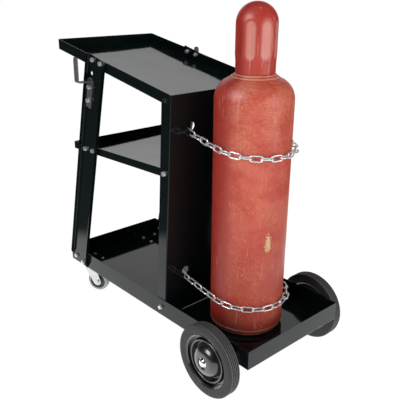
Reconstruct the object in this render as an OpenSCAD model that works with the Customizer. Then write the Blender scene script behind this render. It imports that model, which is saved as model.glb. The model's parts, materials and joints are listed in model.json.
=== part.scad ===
// Oxy acetylene torch cart: a sheet steel cart on two rear wheels and two
// swivel casters, with a sloped top tray, a middle shelf and a cylinder bay
// behind an upright panel. Two chains hold one capped gas cylinder.
// Millimetres. +X runs to the cylinder end, +Z is up and the floor is z = 0.
// The near side is -Y and the far side is +Y.

/* [Sheet] */
// Thickness of the sheet steel
sheet = 1.2; // [1:0.1:2]
// Outer bend radius of the folded sheet
bend_r = 2.6; // [2.2:0.1:4]
// Gap between sheets that are bolted face to face
seat_gap = 0.05; // [0.02:0.01:0.2]

/* [Base tray] */
// Length of the base tray along X
base_len = 728; // [640:2:900]
// Width of the base tray along Y
base_w = 314; // [280:2:400]
// Height of the base tray's underside above the floor
base_z = 97.5; // [94:0.5:120]
// Height of the base tray's lip
base_lip = 47; // [36:1:60]

/* [Back panel] */
// X of the panel's rear face at the base tray's floor
panel_x = 78; // [60:1:100]
// Lean of the panel towards the cylinder, in degrees
panel_lean = 3.14; // [0:0.01:5]
// Depth of the panel's side flanges
panel_flange = 31; // [24:1:40]
// Distance of each keyhole from the centre line
keyhole_y = 94; // [80:1:110]
// Diameter of the keyhole's round part
keyhole_d = 21; // [18:0.5:26]
// Width of the keyhole's slot
keyslot_w = 6; // [5.4:0.1:8]
// Drop of the slot's end below the centre of the round part
keyslot_drop = 24.6; // [22:0.2:32]
// Height of the upper keyholes
upper_key_z = 580; // [520:1:600]
// Height of the lower keyholes
lower_key_z = 211; // [190:1:240]

/* [Top tray] */
// X of the top tray's front end
top_x = -357; // [-380:1:-320]
// Height of the front lip's top edge
top_z = 739.5; // [700:0.5:800]
// Fall of the top tray towards the cylinder, in degrees
top_slope = 10.2; // [0:0.1:12]
// Height of the top tray's lip
top_lip = 26.5; // [24:0.5:40]

/* [Middle shelf] */
// X of the middle shelf's front end
shelf_x = -310.5; // [-330:0.5:-290]
// Height of the front lip's top edge
shelf_z = 472.5; // [440:0.5:520]
// Rise of the shelf towards the panel, in degrees
shelf_rise = 1.9; // [0:0.1:3]
// Height of the shelf's lip
shelf_lip = 20.5; // [20:0.5:36]

/* [Front posts] */
// Width of a post's web
post_w = 77; // [68:1:90]
// Depth of a post's flanges
post_flange = 10.5; // [10:0.5:18]
// Thickness of a post
post_t = 1.5; // [1.2:0.1:2]
// Slant of the posts towards the cylinder, in degrees
post_slant = 13.7; // [0:0.1:16]
// X of the post's foot bolts
post_x = -316; // [-324:1:-290]
// Height of the post's foot bolts above the base tray's underside
post_foot = 18; // [16:0.5:26]
// Distance between the two bolts of a pair
post_bolt_gap = 35; // [30:1:42]
// Length of the post past its end bolts
post_end = 9.5; // [8:0.5:16]
// Distance between the three holes for a cable hook
hook_pitch = 36; // [34:1:44]
// Diameter of the free accessory hole
free_hole_d = 9; // [7:0.5:10]

/* [Cable hooks] */
// Width of a hook's strap
hook_w = 20; // [16:1:24]
// Thickness of the strap
hook_t = 3; // [2:0.5:4]
// Reach of the hook out from the post
hook_reach = 42; // [34:1:55]
// Height of the hook's upright
hook_h = 62; // [45:1:90]

/* [Fasteners] */
// Shank diameter of the bolts
bolt_d = 6; // [5:0.5:6]
// Width across flats of bolt heads and nuts
bolt_af = 10; // [9:0.5:11]

/* [Rear wheels] */
// Outer diameter of the rear wheels
wheel_d = 174; // [164:1:188]
// Width of the rear tyres
tyre_w = 28; // [24:1:40]
// Radius where the tyre meets the wheel's rim
rim_r = 65; // [54:1:68]
// Diameter of the axle
axle_d = 12.7; // [10:0.1:13]
// X of the axle
axle_x = 268; // [240:1:290]
// Radial running clearance of every shaft in its bore
run_gap = 0.06; // [0.03:0.01:0.1]

/* [Casters] */
// Diameter of the caster wheels
caster_d = 64; // [58:1:70]
// Width of the caster tyres
caster_w = 24; // [20:1:28]
// Trail of the caster wheel behind its swivel
caster_trail = 19; // [16:1:24]
// X of the casters' swivels
caster_x = -321; // [-325:1:-300]
// Distance of the swivels from the centre line
caster_y = 115; // [100:1:118]
// Turn of the casters about their swivels, in degrees
caster_turn = 30; // [-180:1:180]

/* [Gas cylinder] */
// Diameter of the gas cylinder
cyl_d = 176; // [160:1:190]
// Height of the straight wall's top above the foot
cyl_h = 547.5; // [500:0.5:620]
// X of the cylinder's axis
cyl_x = 211.5; // [205:0.5:225]
// Y of the cylinder's axis
cyl_y = -6; // [-10:0.5:10]
// Wall thickness of the cylinder
cyl_wall = 5.5; // [4:0.5:8]
// Outer diameter of the valve cap
cap_d = 89.4; // [86:0.2:94]
// Height of the valve cap
cap_h = 146.6; // [140:0.2:165]

/* [Chains] */
// Diameter of the chain wire
wire_d = 3.7; // [3.4:0.1:4.6]
// Nominal pitch of the chain
link_pitch = 24.4; // [20:0.1:28]
// Outer width of a link
link_w = 16; // [14:0.5:18]
// Sag of the upper chain from keyhole to front
upper_sag = 27; // [0:1:40]
// Sag of the lower chain from keyhole to front
lower_sag = 18; // [0:1:30]
// Links that hang behind each keyhole
tail_links = 3; // [1:1:6]

/* [Hidden] */
$fn = 48;
eps = 0.01;
cut = 400;                                   // longer than any cut needs

floor_z = base_z + sheet;                    // top face of the base tray's floor
bolt_hole_d = bolt_d + 0.6;
head_flange_d = bolt_af + 2;
head_flange_t = 1.6;
head_h = 6;
nut_h = 5;
nut_gap = 0.04;                              // radial gap between a nut and its bolt

// Half widths, from the outside in: base lip, panel flange, upper trays.
base_half = base_w / 2;
panel_half = base_half - sheet - seat_gap;
tray_half = panel_half - sheet - seat_gap;

axle_z = wheel_d / 2;
axle_r = axle_d / 2;
caster_r = caster_d / 2;
cyl_r = cyl_d / 2;
cyl_z = floor_z + 0.1;                       // the foot stands just clear of the floor

SIDES = [-1, 1];                             // near and far

// ---------------------------------------------------------------- helpers

function unit(v) = v / norm(v);
function turn_to(a, b) = (b - a + 540) % 360 - 180;

// A corner p1 between p0 and p2, as an arc of radius r in n steps.
function corner(p0, p1, p2, r, n = 6) =
  r <= 0 ? [p1] :
  let (u = unit(p0 - p1), v = unit(p2 - p1), half = acos(u * v) / 2)
  let (c = p1 + unit(u + v) * r / sin(half))
  let (a = p1 + u * r / tan(half) - c, b = p1 + v * r / tan(half) - c)
  let (a0 = atan2(a.y, a.x), sweep = turn_to(a0, atan2(b.y, b.x)))
  [for (i = [0:n]) c + r * [cos(a0 + sweep * i / n), sin(a0 + sweep * i / n)]];

// An outline through pts, each corner rounded by its radius in rs.
function rounded(pts, rs) =
  let (n = len(pts))
  [for (i = [0:n - 1])
    for (p = corner(pts[(i + n - 1) % n], pts[i], pts[(i + 1) % n], rs[i])) p];

// Points of an arc about c from angle a0 to a1.
function arc(c, r, a0, a1, n = 8) =
  [for (i = [0:n]) let (a = a0 + (a1 - a0) * i / n) c + r * [cos(a), sin(a)]];

// Extrudes an XZ outline along Y, centred.
module along_y(w) {
  rotate([90, 0, 0]) linear_extrude(w, center = true) children();
}

// A hexagonal prism with its across-flats size.
module hex(af, h) {
  cylinder(d = af / cos(30), h = h, $fn = 6);
}

// Two discs joined by their outer tangents, as a flat shape.
module tangent_bar(c1, r1, c2, r2) {
  d = norm(c2 - c1);
  a = atan2(c2.y - c1.y, c2.x - c1.x);
  b = acos((r1 - r2) / d);
  translate(c1) circle(r1);
  translate(c2) circle(r2);
  polygon([
    c1 + r1 * [cos(a + b), sin(a + b)], c2 + r2 * [cos(a + b), sin(a + b)],
    c2 + r2 * [cos(a - b), sin(a - b)], c1 + r1 * [cos(a - b), sin(a - b)]
  ]);
}

// ------------------------------------------------------------- fasteners

// A flanged hex bolt: its head stands on z = 0 and its shank runs down.
module flange_bolt(shank) {
  cylinder(d = head_flange_d, h = head_flange_t);
  intersection() {
    hex(bolt_af, head_h);
    cylinder(r1 = bolt_af, r2 = bolt_af * 0.44, h = head_h + 0.6);
  }
  translate([0, 0, -shank]) cylinder(d = bolt_d, h = shank + eps);
}

// A hex nut below z = 0, on the bolt's axis.
module nut() {
  translate([0, 0, -nut_h]) difference() {
    hex(bolt_af, nut_h);
    translate([0, 0, -1]) cylinder(r = bolt_d / 2 + nut_gap, h = nut_h + 2);
  }
}

// Puts a part that is made along +Z on a side face, pointing outwards.
module outward(side, p) {
  translate(p) rotate([-90 * side, 0, 0]) children();
}

// ----------------------------------------------------------- front posts

// The post's frame: origin on the base lip at the foot bolts, z along the
// post, y outwards. It leans in so that its web also meets the top tray.
post_foot_z = base_z + post_foot;
top_fall = tan(top_slope);
shelf_climb = tan(shelf_rise);
top_bolt_drop = 8;                           // below the tray's top edge
shelf_bolt_drop = 10;
post_top_s = (top_z - top_bolt_drop - post_foot_z - top_fall * (post_x - top_x))
  / (cos(post_slant) + top_fall * sin(post_slant));
post_mid_s = (shelf_z - shelf_bolt_drop - post_foot_z + shelf_climb * (post_x - shelf_x))
  / (cos(post_slant) - shelf_climb * sin(post_slant));
lip_run = base_lip - post_foot;              // the web rests on the base lip's top edge
post_lean = atan((base_half - tray_half)
  / ((post_top_s + post_end) * cos(post_slant) - lip_run));
post_seat_y = base_half + seat_gap + lip_run * tan(post_lean);

module post_frame(side) {
  mirror([0, side < 0 ? 1 : 0, 0])
    translate([post_x, post_seat_y, post_foot_z])
      rotate([post_lean, 0, 0])
        rotate([0, post_slant, 0]) children();
}

// [distance along the post, tilt of the bolt pair in the post's frame,
//  gap between the post and the lip it is bolted to]
POST_PAIRS = [
  [0, 0, 0],
  [post_mid_s, post_slant + shelf_rise,
    (base_half - tray_half) * (1 - post_mid_s / post_top_s)],
  [post_top_s, post_slant - top_slope, 0]
];

// Places children at each of the post's six bolts, pointing outwards, and
// sunk by the gap to the lip when they belong behind it.
module at_post_bolts(behind = 0) {
  for (pair = POST_PAIRS, e = [-1, 1])
    translate([0, -behind * pair[2], pair[0]])
      rotate([0, -pair[1], 0])
        translate([e * post_bolt_gap / 2, 0, 0]) rotate([-90, 0, 0]) children();
}

// The three holes for a cable hook, from the free one at the top down.
hook_line_x = -18;
hook_first_s = post_top_s - 35.5;
HOOK_BOLTS = [hook_first_s - hook_pitch, hook_first_s - 2 * hook_pitch];

module at_hook_bolts() {
  for (s = HOOK_BOLTS)
    translate([hook_line_x, 0, s]) rotate([-90, 0, 0]) children();
}

module post_section() {
  r = bend_r + 0.6;
  w = post_w / 2;
  ri = r - post_t;
  difference() {
    polygon(rounded([[-w, post_flange], [-w, 0], [w, 0], [w, post_flange]], [0, r, r, 0]));
    polygon(rounded(
      [[-w + post_t, post_flange + 1], [-w + post_t, post_t],
       [w - post_t, post_t], [w - post_t, post_flange + 1]], [0, ri, ri, 0]));
  }
}

post_chamfer = 18;                           // height of the cut at a flange's free edge

module post(side) {
  color("#141516") post_frame(side) difference() {
    translate([0, 0, -post_end]) linear_extrude(post_top_s + 2 * post_end) post_section();
    for (end = [0, 1])
      translate([0, 0, end * post_top_s]) mirror([0, 0, end])
        rotate([90, 0, 90]) linear_extrude(2 * post_w, center = true)
          polygon([
            [post_t + 1, -post_end - 1], [post_flange + 1, -post_end - 1],
            [post_flange + 1, post_chamfer - post_end + 1], [post_t + 1, 3 - post_end]
          ]);
    at_post_bolts() cylinder(d = bolt_hole_d, h = 20, center = true);
    at_hook_bolts() cylinder(d = bolt_hole_d, h = 20, center = true);
    translate([hook_line_x, 0, hook_first_s])
      rotate([-90, 0, 0]) cylinder(d = free_hole_d, h = 20, center = true);
  }
}

module post_bolts() {
  color("#c9cbcc") for (side = SIDES) post_frame(side) at_post_bolts()
    translate([0, 0, post_t + 0.02]) flange_bolt(post_t + sheet + nut_h + 4);
}

// Nuts stand on the inner face of each lip.
module post_nuts() {
  color("#c9cbcc") for (side = SIDES) post_frame(side) at_post_bolts(1)
    translate([0, 0, -sheet - 2 * seat_gap - 0.15]) nut();
}

// ------------------------------------------------------------ cable hooks

hook_pivot_s = HOOK_BOLTS[0] + 15;           // where the strap turns outwards
hook_bend = 4;                               // inner radius of its bend
hook_arm_w = hook_w - 3;

// The arm and the foot of the upright, in a plane across the cart.
module hook_profile() {
  low = -hook_t / 2;
  high = hook_t / 2;
  polygon(rounded(
    [[high, low], [hook_reach, low], [hook_reach, 20], [hook_reach - hook_t, 20],
     [hook_reach - hook_t, high], [high, high]],
    [0, hook_bend + hook_t, 0, 0, hook_bend, 0]));
}

// A strap bolted along the post, an arm outwards and an upright.
module cable_hook(side) {
  w = hook_arm_w / 2;
  color("#8d9092") post_frame(side) difference() {
    translate([hook_line_x, post_t + 0.05, hook_pivot_s]) {
      rotate([-90, 0, 0]) linear_extrude(hook_t) {
        circle(d = hook_w);
        translate([-hook_w / 2, 0])
          square([hook_w, hook_pivot_s - HOOK_BOLTS[1] + 19]);
      }
      rotate([0, -post_slant, 0]) {
        rotate([90, 0, 90]) linear_extrude(hook_arm_w, center = true) hook_profile();
        translate([0, hook_reach - hook_t / 2, 0]) along_y(hook_t) polygon(rounded(
          [[-w, 20], [w, 20], [w, hook_h], [-w, hook_h]], [0, 0, 7, 7]));
      }
    }
    at_hook_bolts() cylinder(d = bolt_hole_d, h = 30, center = true);
  }
}

module hook_bolts() {
  color("#c9cbcc") for (side = SIDES) post_frame(side) at_hook_bolts()
    translate([0, 0, post_t + hook_t + 0.1]) flange_bolt(post_t + hook_t + nut_h + 3);
}

module hook_nuts() {
  color("#c9cbcc") for (side = SIDES) post_frame(side) at_hook_bolts()
    translate([0, 0, -0.02]) nut();
}

// ------------------------------------------------------------- back panel

panel_fall = tan(panel_lean);
function panel_rear_x(z) = panel_x + panel_fall * (z - floor_z);
function panel_front_x(z) = panel_rear_x(z) - sheet / cos(panel_lean);

// Where a line that falls by m per X from (x0, z0) meets the panel's front.
function at_panel(x0, z0, m) =
  let (x = (panel_front_x(0) + panel_fall * (z0 + m * x0)) / (1 + panel_fall * m))
  [x - seat_gap, z0 - m * (x - seat_gap - x0)];

panel_top_z = at_panel(top_x, top_z, top_fall).y;
panel_len = (panel_top_z - floor_z) / cos(panel_lean);
panel_foot_z = floor_z + bend_r - sheet + seat_gap;  // clear of the base tray's bends

// Heights of the panel's flange bolts: base lip, middle shelf, top tray.
PANEL_BOLT_Z = [
  base_z + 24,
  at_panel(shelf_x, shelf_z, -shelf_climb).y - shelf_bolt_drop - 1,
  panel_top_z - top_bolt_drop - 4
];
function panel_bolt_x(z) = panel_rear_x(z) - panel_flange / 2;

// Places children at a panel bolt on one side, pointing outwards.
module at_panel_bolt(side, i) {
  z = PANEL_BOLT_Z[i];
  y = i == 0 ? base_half : panel_half;
  outward(side, [panel_bolt_x(z), side * y, z]) children();
}

module keyhole(y, z) {
  translate([panel_rear_x(z), y, z]) rotate([0, 90, 0])
    linear_extrude(60, center = true) {
      circle(d = keyhole_d);
      translate([0, -keyslot_w / 2]) square([keyslot_drop - keyslot_w / 2, keyslot_w]);
      translate([keyslot_drop - keyslot_w / 2, 0]) circle(d = keyslot_w);
    }
}

module back_panel() {
  r = bend_r;
  color("#101112") difference() {
    translate([panel_x, 0, floor_z]) rotate([0, panel_lean, 0])
      translate([0, 0, -10]) linear_extrude(panel_len + 10) difference() {
        polygon(rounded(
          [[-panel_flange, -panel_half], [0, -panel_half], [0, panel_half],
           [-panel_flange, panel_half]], [0, r, r, 0]));
        polygon(rounded(
          [[-panel_flange - 1, sheet - panel_half], [-sheet, sheet - panel_half],
           [-sheet, panel_half - sheet], [-panel_flange - 1, panel_half - sheet]],
          [0, r - sheet, r - sheet, 0]));
      }
    translate([panel_x - cut / 2, -cut / 2, panel_foot_z - cut]) cube(cut);
    translate([panel_rear_x(panel_top_z) - panel_flange, 0, panel_top_z])
      rotate([0, 45, 0]) cube([17, cut, 17], center = true);
    for (side = SIDES) {
      for (i = [0:2])
        at_panel_bolt(side, i) cylinder(d = bolt_hole_d, h = 30, center = true);
      for (z = [upper_key_z, lower_key_z]) keyhole(side * keyhole_y, z);
    }
  }
}

module panel_bolts() {
  color("#c9cbcc") for (side = SIDES, i = [0:1])
    at_panel_bolt(side, i) translate([0, 0, 0.02]) flange_bolt(2 * sheet + nut_h + 3);
}

module panel_top_screws() {
  color("#1b1c1e") for (side = SIDES)
    at_panel_bolt(side, 2) translate([0, 0, 0.02]) flange_bolt(2 * sheet + nut_h + 3);
}

module panel_nuts() {
  color("#c9cbcc") for (side = SIDES, i = [0:2])
    at_panel_bolt(side, i) translate([0, 0, -2 * (sheet + seat_gap) - 0.02]) nut();
}

// ------------------------------------------------------------------ trays

// A folded tray. Its side outline runs from the front end at (x0, z0), the
// lip's top edge, to a rear end; m is the fall per X and h the lip height.
module tray_solid(x0, z0, m, h, half, rear, inset, r) {
  slope = atan(m);
  drop = inset / cos(slope);
  top = inset > 0 ? 30 : 0;
  rear_low = rear[1];
  low = z0 - h + drop;
  intersection() {
    along_y(4 * half) polygon(rounded([
      [x0 + inset, z0 + top],
      [x0 + inset, low - m * inset],
      [rear_low.x - inset, low - m * (rear_low.x - inset - x0)],
      [rear[0].x - inset + top * panel_fall, rear[0].y + top]
    ], [0, r, r, 0]));
    translate([x0, 0, low]) rotate([0, slope, 0]) rotate([90, 0, 90])
      translate([0, 0, -100]) linear_extrude(base_len + 300) polygon(rounded(
        [[-half + inset, h + 90], [-half + inset, 0], [half - inset, 0],
         [half - inset, h + 90]], [0, r, r, 0]));
  }
}

module tray(x0, z0, m, h, half, rear) {
  difference() {
    tray_solid(x0, z0, m, h, half, rear, 0, bend_r);
    tray_solid(x0, z0, m, h, half, rear, sheet, bend_r - sheet);
  }
}

// Trims a tray's rear corners, which stand in the panel's bends.
module rear_corners(rear) {
  for (side = SIDES)
    translate([rear[0].x, side * tray_half, rear[0].y])
      rotate([0, panel_lean, 0]) rotate([0, 0, 45])
        cube([sheet * 1.2, sheet * 1.2, 4 * top_lip], center = true);
}

module top_tray() {
  rear = [at_panel(top_x, top_z, top_fall), at_panel(top_x, top_z - top_lip, top_fall)];
  color("#141516") difference() {
    tray(top_x, top_z, top_fall, top_lip, tray_half, rear);
    rear_corners(rear);
    for (side = SIDES) {
      post_frame(side) at_post_bolts() cylinder(d = bolt_hole_d, h = 20, center = true);
      at_panel_bolt(side, 2) cylinder(d = bolt_hole_d, h = 30, center = true);
    }
  }
}

module middle_shelf() {
  rear = [
    at_panel(shelf_x, shelf_z, -shelf_climb),
    at_panel(shelf_x, shelf_z - shelf_lip, -shelf_climb)
  ];
  color("#141516") difference() {
    tray(shelf_x, shelf_z, -shelf_climb, shelf_lip, tray_half, rear);
    rear_corners(rear);
    for (side = SIDES) {
      post_frame(side) at_post_bolts() cylinder(d = bolt_hole_d, h = 20, center = true);
      at_panel_bolt(side, 1) cylinder(d = bolt_hole_d, h = 30, center = true);
    }
  }
}

module base_tray() {
  x0 = -base_len / 2;
  x1 = base_len / 2;
  z0 = base_z + base_lip;
  color("#141516") difference() {
    intersection() {
      tray(x0, z0, 0, base_lip, base_half, [[x1, z0], [x1, base_z]]);
      translate([0, 0, z0 - cut / 2]) cube([2 * base_len, cut, cut], center = true);
    }
    for (side = SIDES) {
      post_frame(side) at_post_bolts() cylinder(d = bolt_hole_d, h = 20, center = true);
      at_panel_bolt(side, 0) cylinder(d = bolt_hole_d, h = 30, center = true);
      caster_place(side) at_caster_bolts() cylinder(d = bolt_hole_d, h = 30, center = true);
    }
  }
}

// ------------------------------------------------------------ rear wheels

hub_gap = 0.3;                               // end play between hub and washer
washer_t = 2;
washer_r = 13;
wheel_gap = 12;                              // between the base tray's lip and a tyre
wheel_mid = base_half + wheel_gap + tyre_w / 2;  // distance of a wheel's mid plane
hub_in = base_half + seat_gap + washer_t + hub_gap;
hub_out = wheel_mid + tyre_w / 2 + 3.5;
hub_r = 11.5;
dish_r = 43;                                 // foot of the dished centre
dome_r = 23;                                 // radius of its rounded shoulder
disc_t = 1.8;
valley_z = -2.3;                             // height of the valley round the dish
groove_z = disc_t + 0.1;                     // height of the groove inside the rim
bead_r = rim_r - 3;                          // where the tyre sits on the rim

// Turns a profile of [radius, distance outwards] about the axle.
module wheel_place(side) {
  translate([axle_x, side * wheel_mid, axle_z]) rotate([-90 * side, 0, 0]) children();
}

// Outward face of the outer disc, as [radius, height] from hub to rim: a
// recessed hub eye, a domed dish, a valley, a raised ring and a groove.
OUTER_FACE = concat(
  [[hub_r + 0.1, tyre_w / 2 + 3]],
  arc([hub_r + 4.5, tyre_w / 2 + 4.7], 2, 200, 90, 4),
  arc([dish_r - dome_r - 2.4, tyre_w / 2 - 16.5], dome_r, 90, 18, 14),
  [[dish_r - 0.9, valley_z + 0.9], [dish_r, valley_z], [dish_r + 1.1, valley_z + 0.7]],
  arc([dish_r + 7.2, tyre_w / 2 - 6.8], 2.4, 170, 10, 6),
  [[dish_r + 11.2, groove_z + 1.3], [dish_r + 12.2, groove_z], [bead_r, groove_z]]
);

module disc_shell(face) {
  back = [for (i = [len(face) - 1:-1:0]) [face[i].x, face[i].y - disc_t]];
  rotate_extrude($fn = 96) polygon(concat(face, back));
}

// Half of the rim: a seat for the tyre and a flange that leans over its bead.
module rim_half() {
  w = tyre_w / 2;
  rotate_extrude($fn = 96) polygon([
    [bead_r - disc_t, 0.02], [bead_r, 0.02], [bead_r, w - 4.4], [rim_r, w - 1.8],
    [rim_r, w - 0.4], [rim_r - 1.2, w - 0.4], [bead_r - disc_t, w - 3.6]
  ]);
}

module wheel_outer_disc(side) {
  color("#0d0e0f") wheel_place(side) {
    disc_shell(OUTER_FACE);
    rim_half();
  }
}

module wheel_inner_disc(side) {
  face = concat(
    [[hub_r + 0.1, tyre_w / 2 - 4]],
    arc([hub_r + 6, tyre_w / 2 - 28.5], 28, 88, 50, 8),
    [[dish_r + 4, tyre_w / 2 - 5.5], [bead_r, tyre_w / 2 - 5.5]]
  );
  color("#0d0e0f") wheel_place(side) mirror([0, 0, 1]) {
    disc_shell(face);
    rim_half();
  }
}

module wheel_hub(side) {
  color("#55585b") wheel_place(side) translate([0, 0, hub_in - wheel_mid]) difference() {
    cylinder(r = hub_r, h = hub_out - hub_in);
    translate([0, 0, -1]) cylinder(r = axle_r + run_gap, h = hub_out - hub_in + 2);
  }
}

// The tyre's section: beads on the rim, walls with a step under the shoulder
// and a grooved tread.
module rear_tyre(side) {
  w = tyre_w / 2;
  tread_r = wheel_d / 2;
  step_r = tread_r - 8.5;
  groove_d = 1.6;
  groove_w = 1.3;
  shoulder = w - 4;
  color("#3f4144") wheel_place(side) difference() {
    rotate_extrude($fn = 128) polygon(concat(
      [[bead_r + 0.02, 4.45 - w], [rim_r + 0.05, 1.8 - w], [rim_r + 0.1, 0.8 - w],
       [rim_r + 1.6, 0.4 - w], [rim_r + 4, -w], [step_r, -w], [step_r + 0.5, 0.6 - w]],
      [for (i = [0:6]) let (a = -90 + 15 * i)
        [tread_r - 5 + 5 * cos(a), -shoulder + 3.4 * sin(a)]],
      [for (i = [0:6]) let (a = 15 * i)
        [tread_r - 5 + 5 * cos(a), shoulder + 3.4 * sin(a)]],
      [[step_r + 0.5, w - 0.6], [step_r, w], [rim_r + 4, w], [rim_r + 1.6, w - 0.4],
       [rim_r + 0.1, w - 0.8], [rim_r + 0.05, w - 1.8], [bead_r + 0.02, w - 4.45]]
    ));
    for (g = [-7.5, -2.5, 2.5, 7.5])
      translate([0, 0, g]) rotate_extrude($fn = 128)
        translate([tread_r - groove_d, -groove_w / 2]) square([10, groove_w]);
  }
}

module axle() {
  color("#9a9da0") translate([axle_x, 0, axle_z]) rotate([90, 0, 0])
    cylinder(r = axle_r, h = 2 * (hub_out + 1.8), center = true);
}

// Bent lugs under the tray carry the axle close to each side.
lug_t = 3;
lug_y = base_half - 12;
module axle_brackets() {
  flange_t = 1.5;
  drop = base_z - axle_z + axle_r + 6;
  color("#141516") for (side = SIDES) difference() {
    translate([axle_x, side * lug_y, base_z - seat_gap]) {
      translate([0, -side * 14, -flange_t / 2]) cube([34, 30, flange_t], center = true);
      along_y(lug_t) translate([0, -drop]) {
        translate([-17, 8]) square([34, drop - 8]);
        polygon([[-17, 8 + eps], [-9, 0], [9, 0], [17, 8 + eps]]);
      }
    }
    translate([axle_x, 0, axle_z]) rotate([90, 0, 0])
      cylinder(r = axle_r + 0.05, h = 2 * cut, center = true);
  }
}

module axle_washers() {
  color("#c9cbcc") for (side = SIDES)
    outward(side, [axle_x, side * (base_half + seat_gap), axle_z]) difference() {
      cylinder(r = washer_r, h = washer_t);
      translate([0, 0, -1]) cylinder(r = axle_r + 0.05, h = washer_t + 2);
    }
}

// Domed caps pushed on the axle's ends.
module axle_caps() {
  cap_r = 9.5;
  color("#e3e5e6") for (side = SIDES)
    outward(side, [axle_x, side * (hub_out + hub_gap), axle_z]) difference() {
      rotate_extrude() polygon(concat(
        [[0, 0], [cap_r + 1.6, 0], [cap_r + 1.6, 1.2], [cap_r, 1.8]],
        [for (i = [0:8]) let (a = 90 * i / 8) [cap_r * cos(a), 1.8 + 5 * sin(a)]]
      ));
      translate([0, 0, -1]) cylinder(r = axle_r + 0.02, h = 1 + 1.6);
    }
}

// ---------------------------------------------------------------- casters

plate_t = 2.5;
plate_z = base_z - seat_gap - plate_t;       // underside of the top plate
plate_len = 60;
plate_w = 66;
plate_hole_x = 41;
plate_hole_y = 46;
race_h = 9;
crown_z = plate_z - race_h;                  // top of the fork's crown
fork_t = 2.5;
fork_gap = 1.4;                              // between the wheel and each leg
fork_in = caster_w / 2 + fork_gap;           // inner face of a leg
pin_r = 5;
caster_bolt_r = 4;
sleeve_r = 6.5;

// The plate's frame: the swivel axis is the origin and z is the floor's.
module caster_place(side) {
  translate([caster_x, side * caster_y, 0]) children();
}

// The swivel's frame: the caster turned about the swivel axis.
module swivel_place(side) {
  caster_place(side) rotate([0, 0, caster_turn]) children();
}

// The wheel's frame: axle along z.
module caster_wheel_place(side) {
  swivel_place(side) translate([caster_trail, 0, caster_r]) rotate([-90, 0, 0]) children();
}

module at_caster_bolts() {
  for (x = [-1, 1], y = [-1, 1])
    translate([x * plate_hole_x / 2, y * plate_hole_y / 2, floor_z]) children();
}

module caster_plate(side) {
  color("#d4d6d7") caster_place(side) difference() {
    translate([0, 0, plate_z]) linear_extrude(plate_t) polygon(rounded(
      [[-plate_len / 2, -plate_w / 2], [plate_len / 2, -plate_w / 2],
       [plate_len / 2, plate_w / 2], [-plate_len / 2, plate_w / 2]], [6, 6, 6, 6]));
    at_caster_bolts() cylinder(d = bolt_hole_d, h = 30, center = true);
    translate([0, 0, plate_z - 1]) cylinder(r = pin_r + 0.03, h = plate_t + 0.2);
  }
}

// Domed heads on the tray's floor, nuts under the plate.
module caster_bolts() {
  color("#c9cbcc") for (side = SIDES) caster_place(side) at_caster_bolts() {
    translate([0, 0, 0.02]) intersection() {
      cylinder(d = head_flange_d - 2, h = 4);
      translate([0, 0, 4 - 9]) sphere(r = 9, $fn = 64);
    }
    translate([0, 0, -14]) cylinder(d = bolt_d, h = 14 + 1);
  }
}

module caster_nuts() {
  color("#c9cbcc") for (side = SIDES) caster_place(side) at_caster_bolts()
    translate([0, 0, plate_z - floor_z - 0.02]) nut();
}

// A rivet fixed in the plate; its head under the crown carries the fork.
module caster_kingpins() {
  foot = crown_z - fork_t - 0.3;
  color("#d4d6d7") for (side = SIDES) caster_place(side) {
    translate([0, 0, foot]) cylinder(r = pin_r, h = plate_z + plate_t - 0.9 - foot);
    translate([0, 0, foot - 3]) rotate_extrude()
      polygon([[0, 0], [6, 0], [8.5, 1.5], [8.5, 3], [0, 3]]);
  }
}

// The ball race's pressed cup, which turns with the fork.
module caster_race(side) {
  color("#d4d6d7") swivel_place(side) translate([0, 0, crown_z]) rotate_extrude() polygon([
    [pin_r + 0.3, 0.02], [23, 0.02], [23, 2.4], [21, 5.4], [17, 7.4], [12, race_h - 0.3],
    [pin_r + 0.3, race_h - 0.3]
  ]);
}

// A pressed fork: a round crown, two legs and their axle eyes.
module caster_fork(side) {
  leg_top = crown_z - fork_t;
  eye_r = 12.3;
  shoulder_r = 16;
  color("#dcdedf") swivel_place(side) difference() {
    union() {
      translate([0, 0, leg_top]) linear_extrude(fork_t) intersection() {
        circle(r = 24);
        square([60, 2 * (fork_in + fork_t)], center = true);
      }
      for (s = SIDES)
        translate([0, s * (fork_in + fork_t / 2), 0]) along_y(fork_t) intersection() {
          tangent_bar([0, leg_top - 8], shoulder_r, [caster_trail, caster_r], eye_r);
          translate([-60, 0]) square([120, leg_top + fork_t]);
        }
    }
    translate([0, 0, leg_top - 1]) cylinder(r = pin_r + run_gap, h = fork_t + 2);
    translate([caster_trail, 0, caster_r]) rotate([90, 0, 0])
      cylinder(r = caster_bolt_r + 0.04, h = 100, center = true);
  }
}

// Axle bolt with its hex head on one side and its lock nut on the other.
module caster_axle(side) {
  reach = fork_in + fork_t;
  color("#b9bcbe") caster_wheel_place(side) {
    translate([0, 0, -reach - 0.02]) cylinder(r = caster_bolt_r, h = 2 * reach + 6);
    translate([0, 0, -reach - 5]) hex(13, 4.98);
    translate([0, 0, reach + 0.02]) hex(13, 5);
  }
}

module caster_sleeve(side) {
  color("#b9bcbe") caster_wheel_place(side) difference() {
    cylinder(r = sleeve_r, h = 2 * fork_in - 0.04, center = true);
    cylinder(r = caster_bolt_r + 0.04, h = 60, center = true);
  }
}

module caster_core(side) {
  r = caster_r - 8.2;
  w = caster_w / 2;
  color("#2b2d2f") caster_wheel_place(side) rotate_extrude($fn = 96) polygon([
    [sleeve_r + run_gap, -w - 0.8], [11, -w - 0.8], [12.5, -w + 3], [r - 3.5, -w + 3],
    [r - 2, -w + 1], [r, -w + 1], [r, w - 1], [r - 2, w - 1], [r - 3.5, w - 3],
    [12.5, w - 3], [11, w + 0.8], [sleeve_r + run_gap, w + 0.8]
  ]);
}

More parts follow.
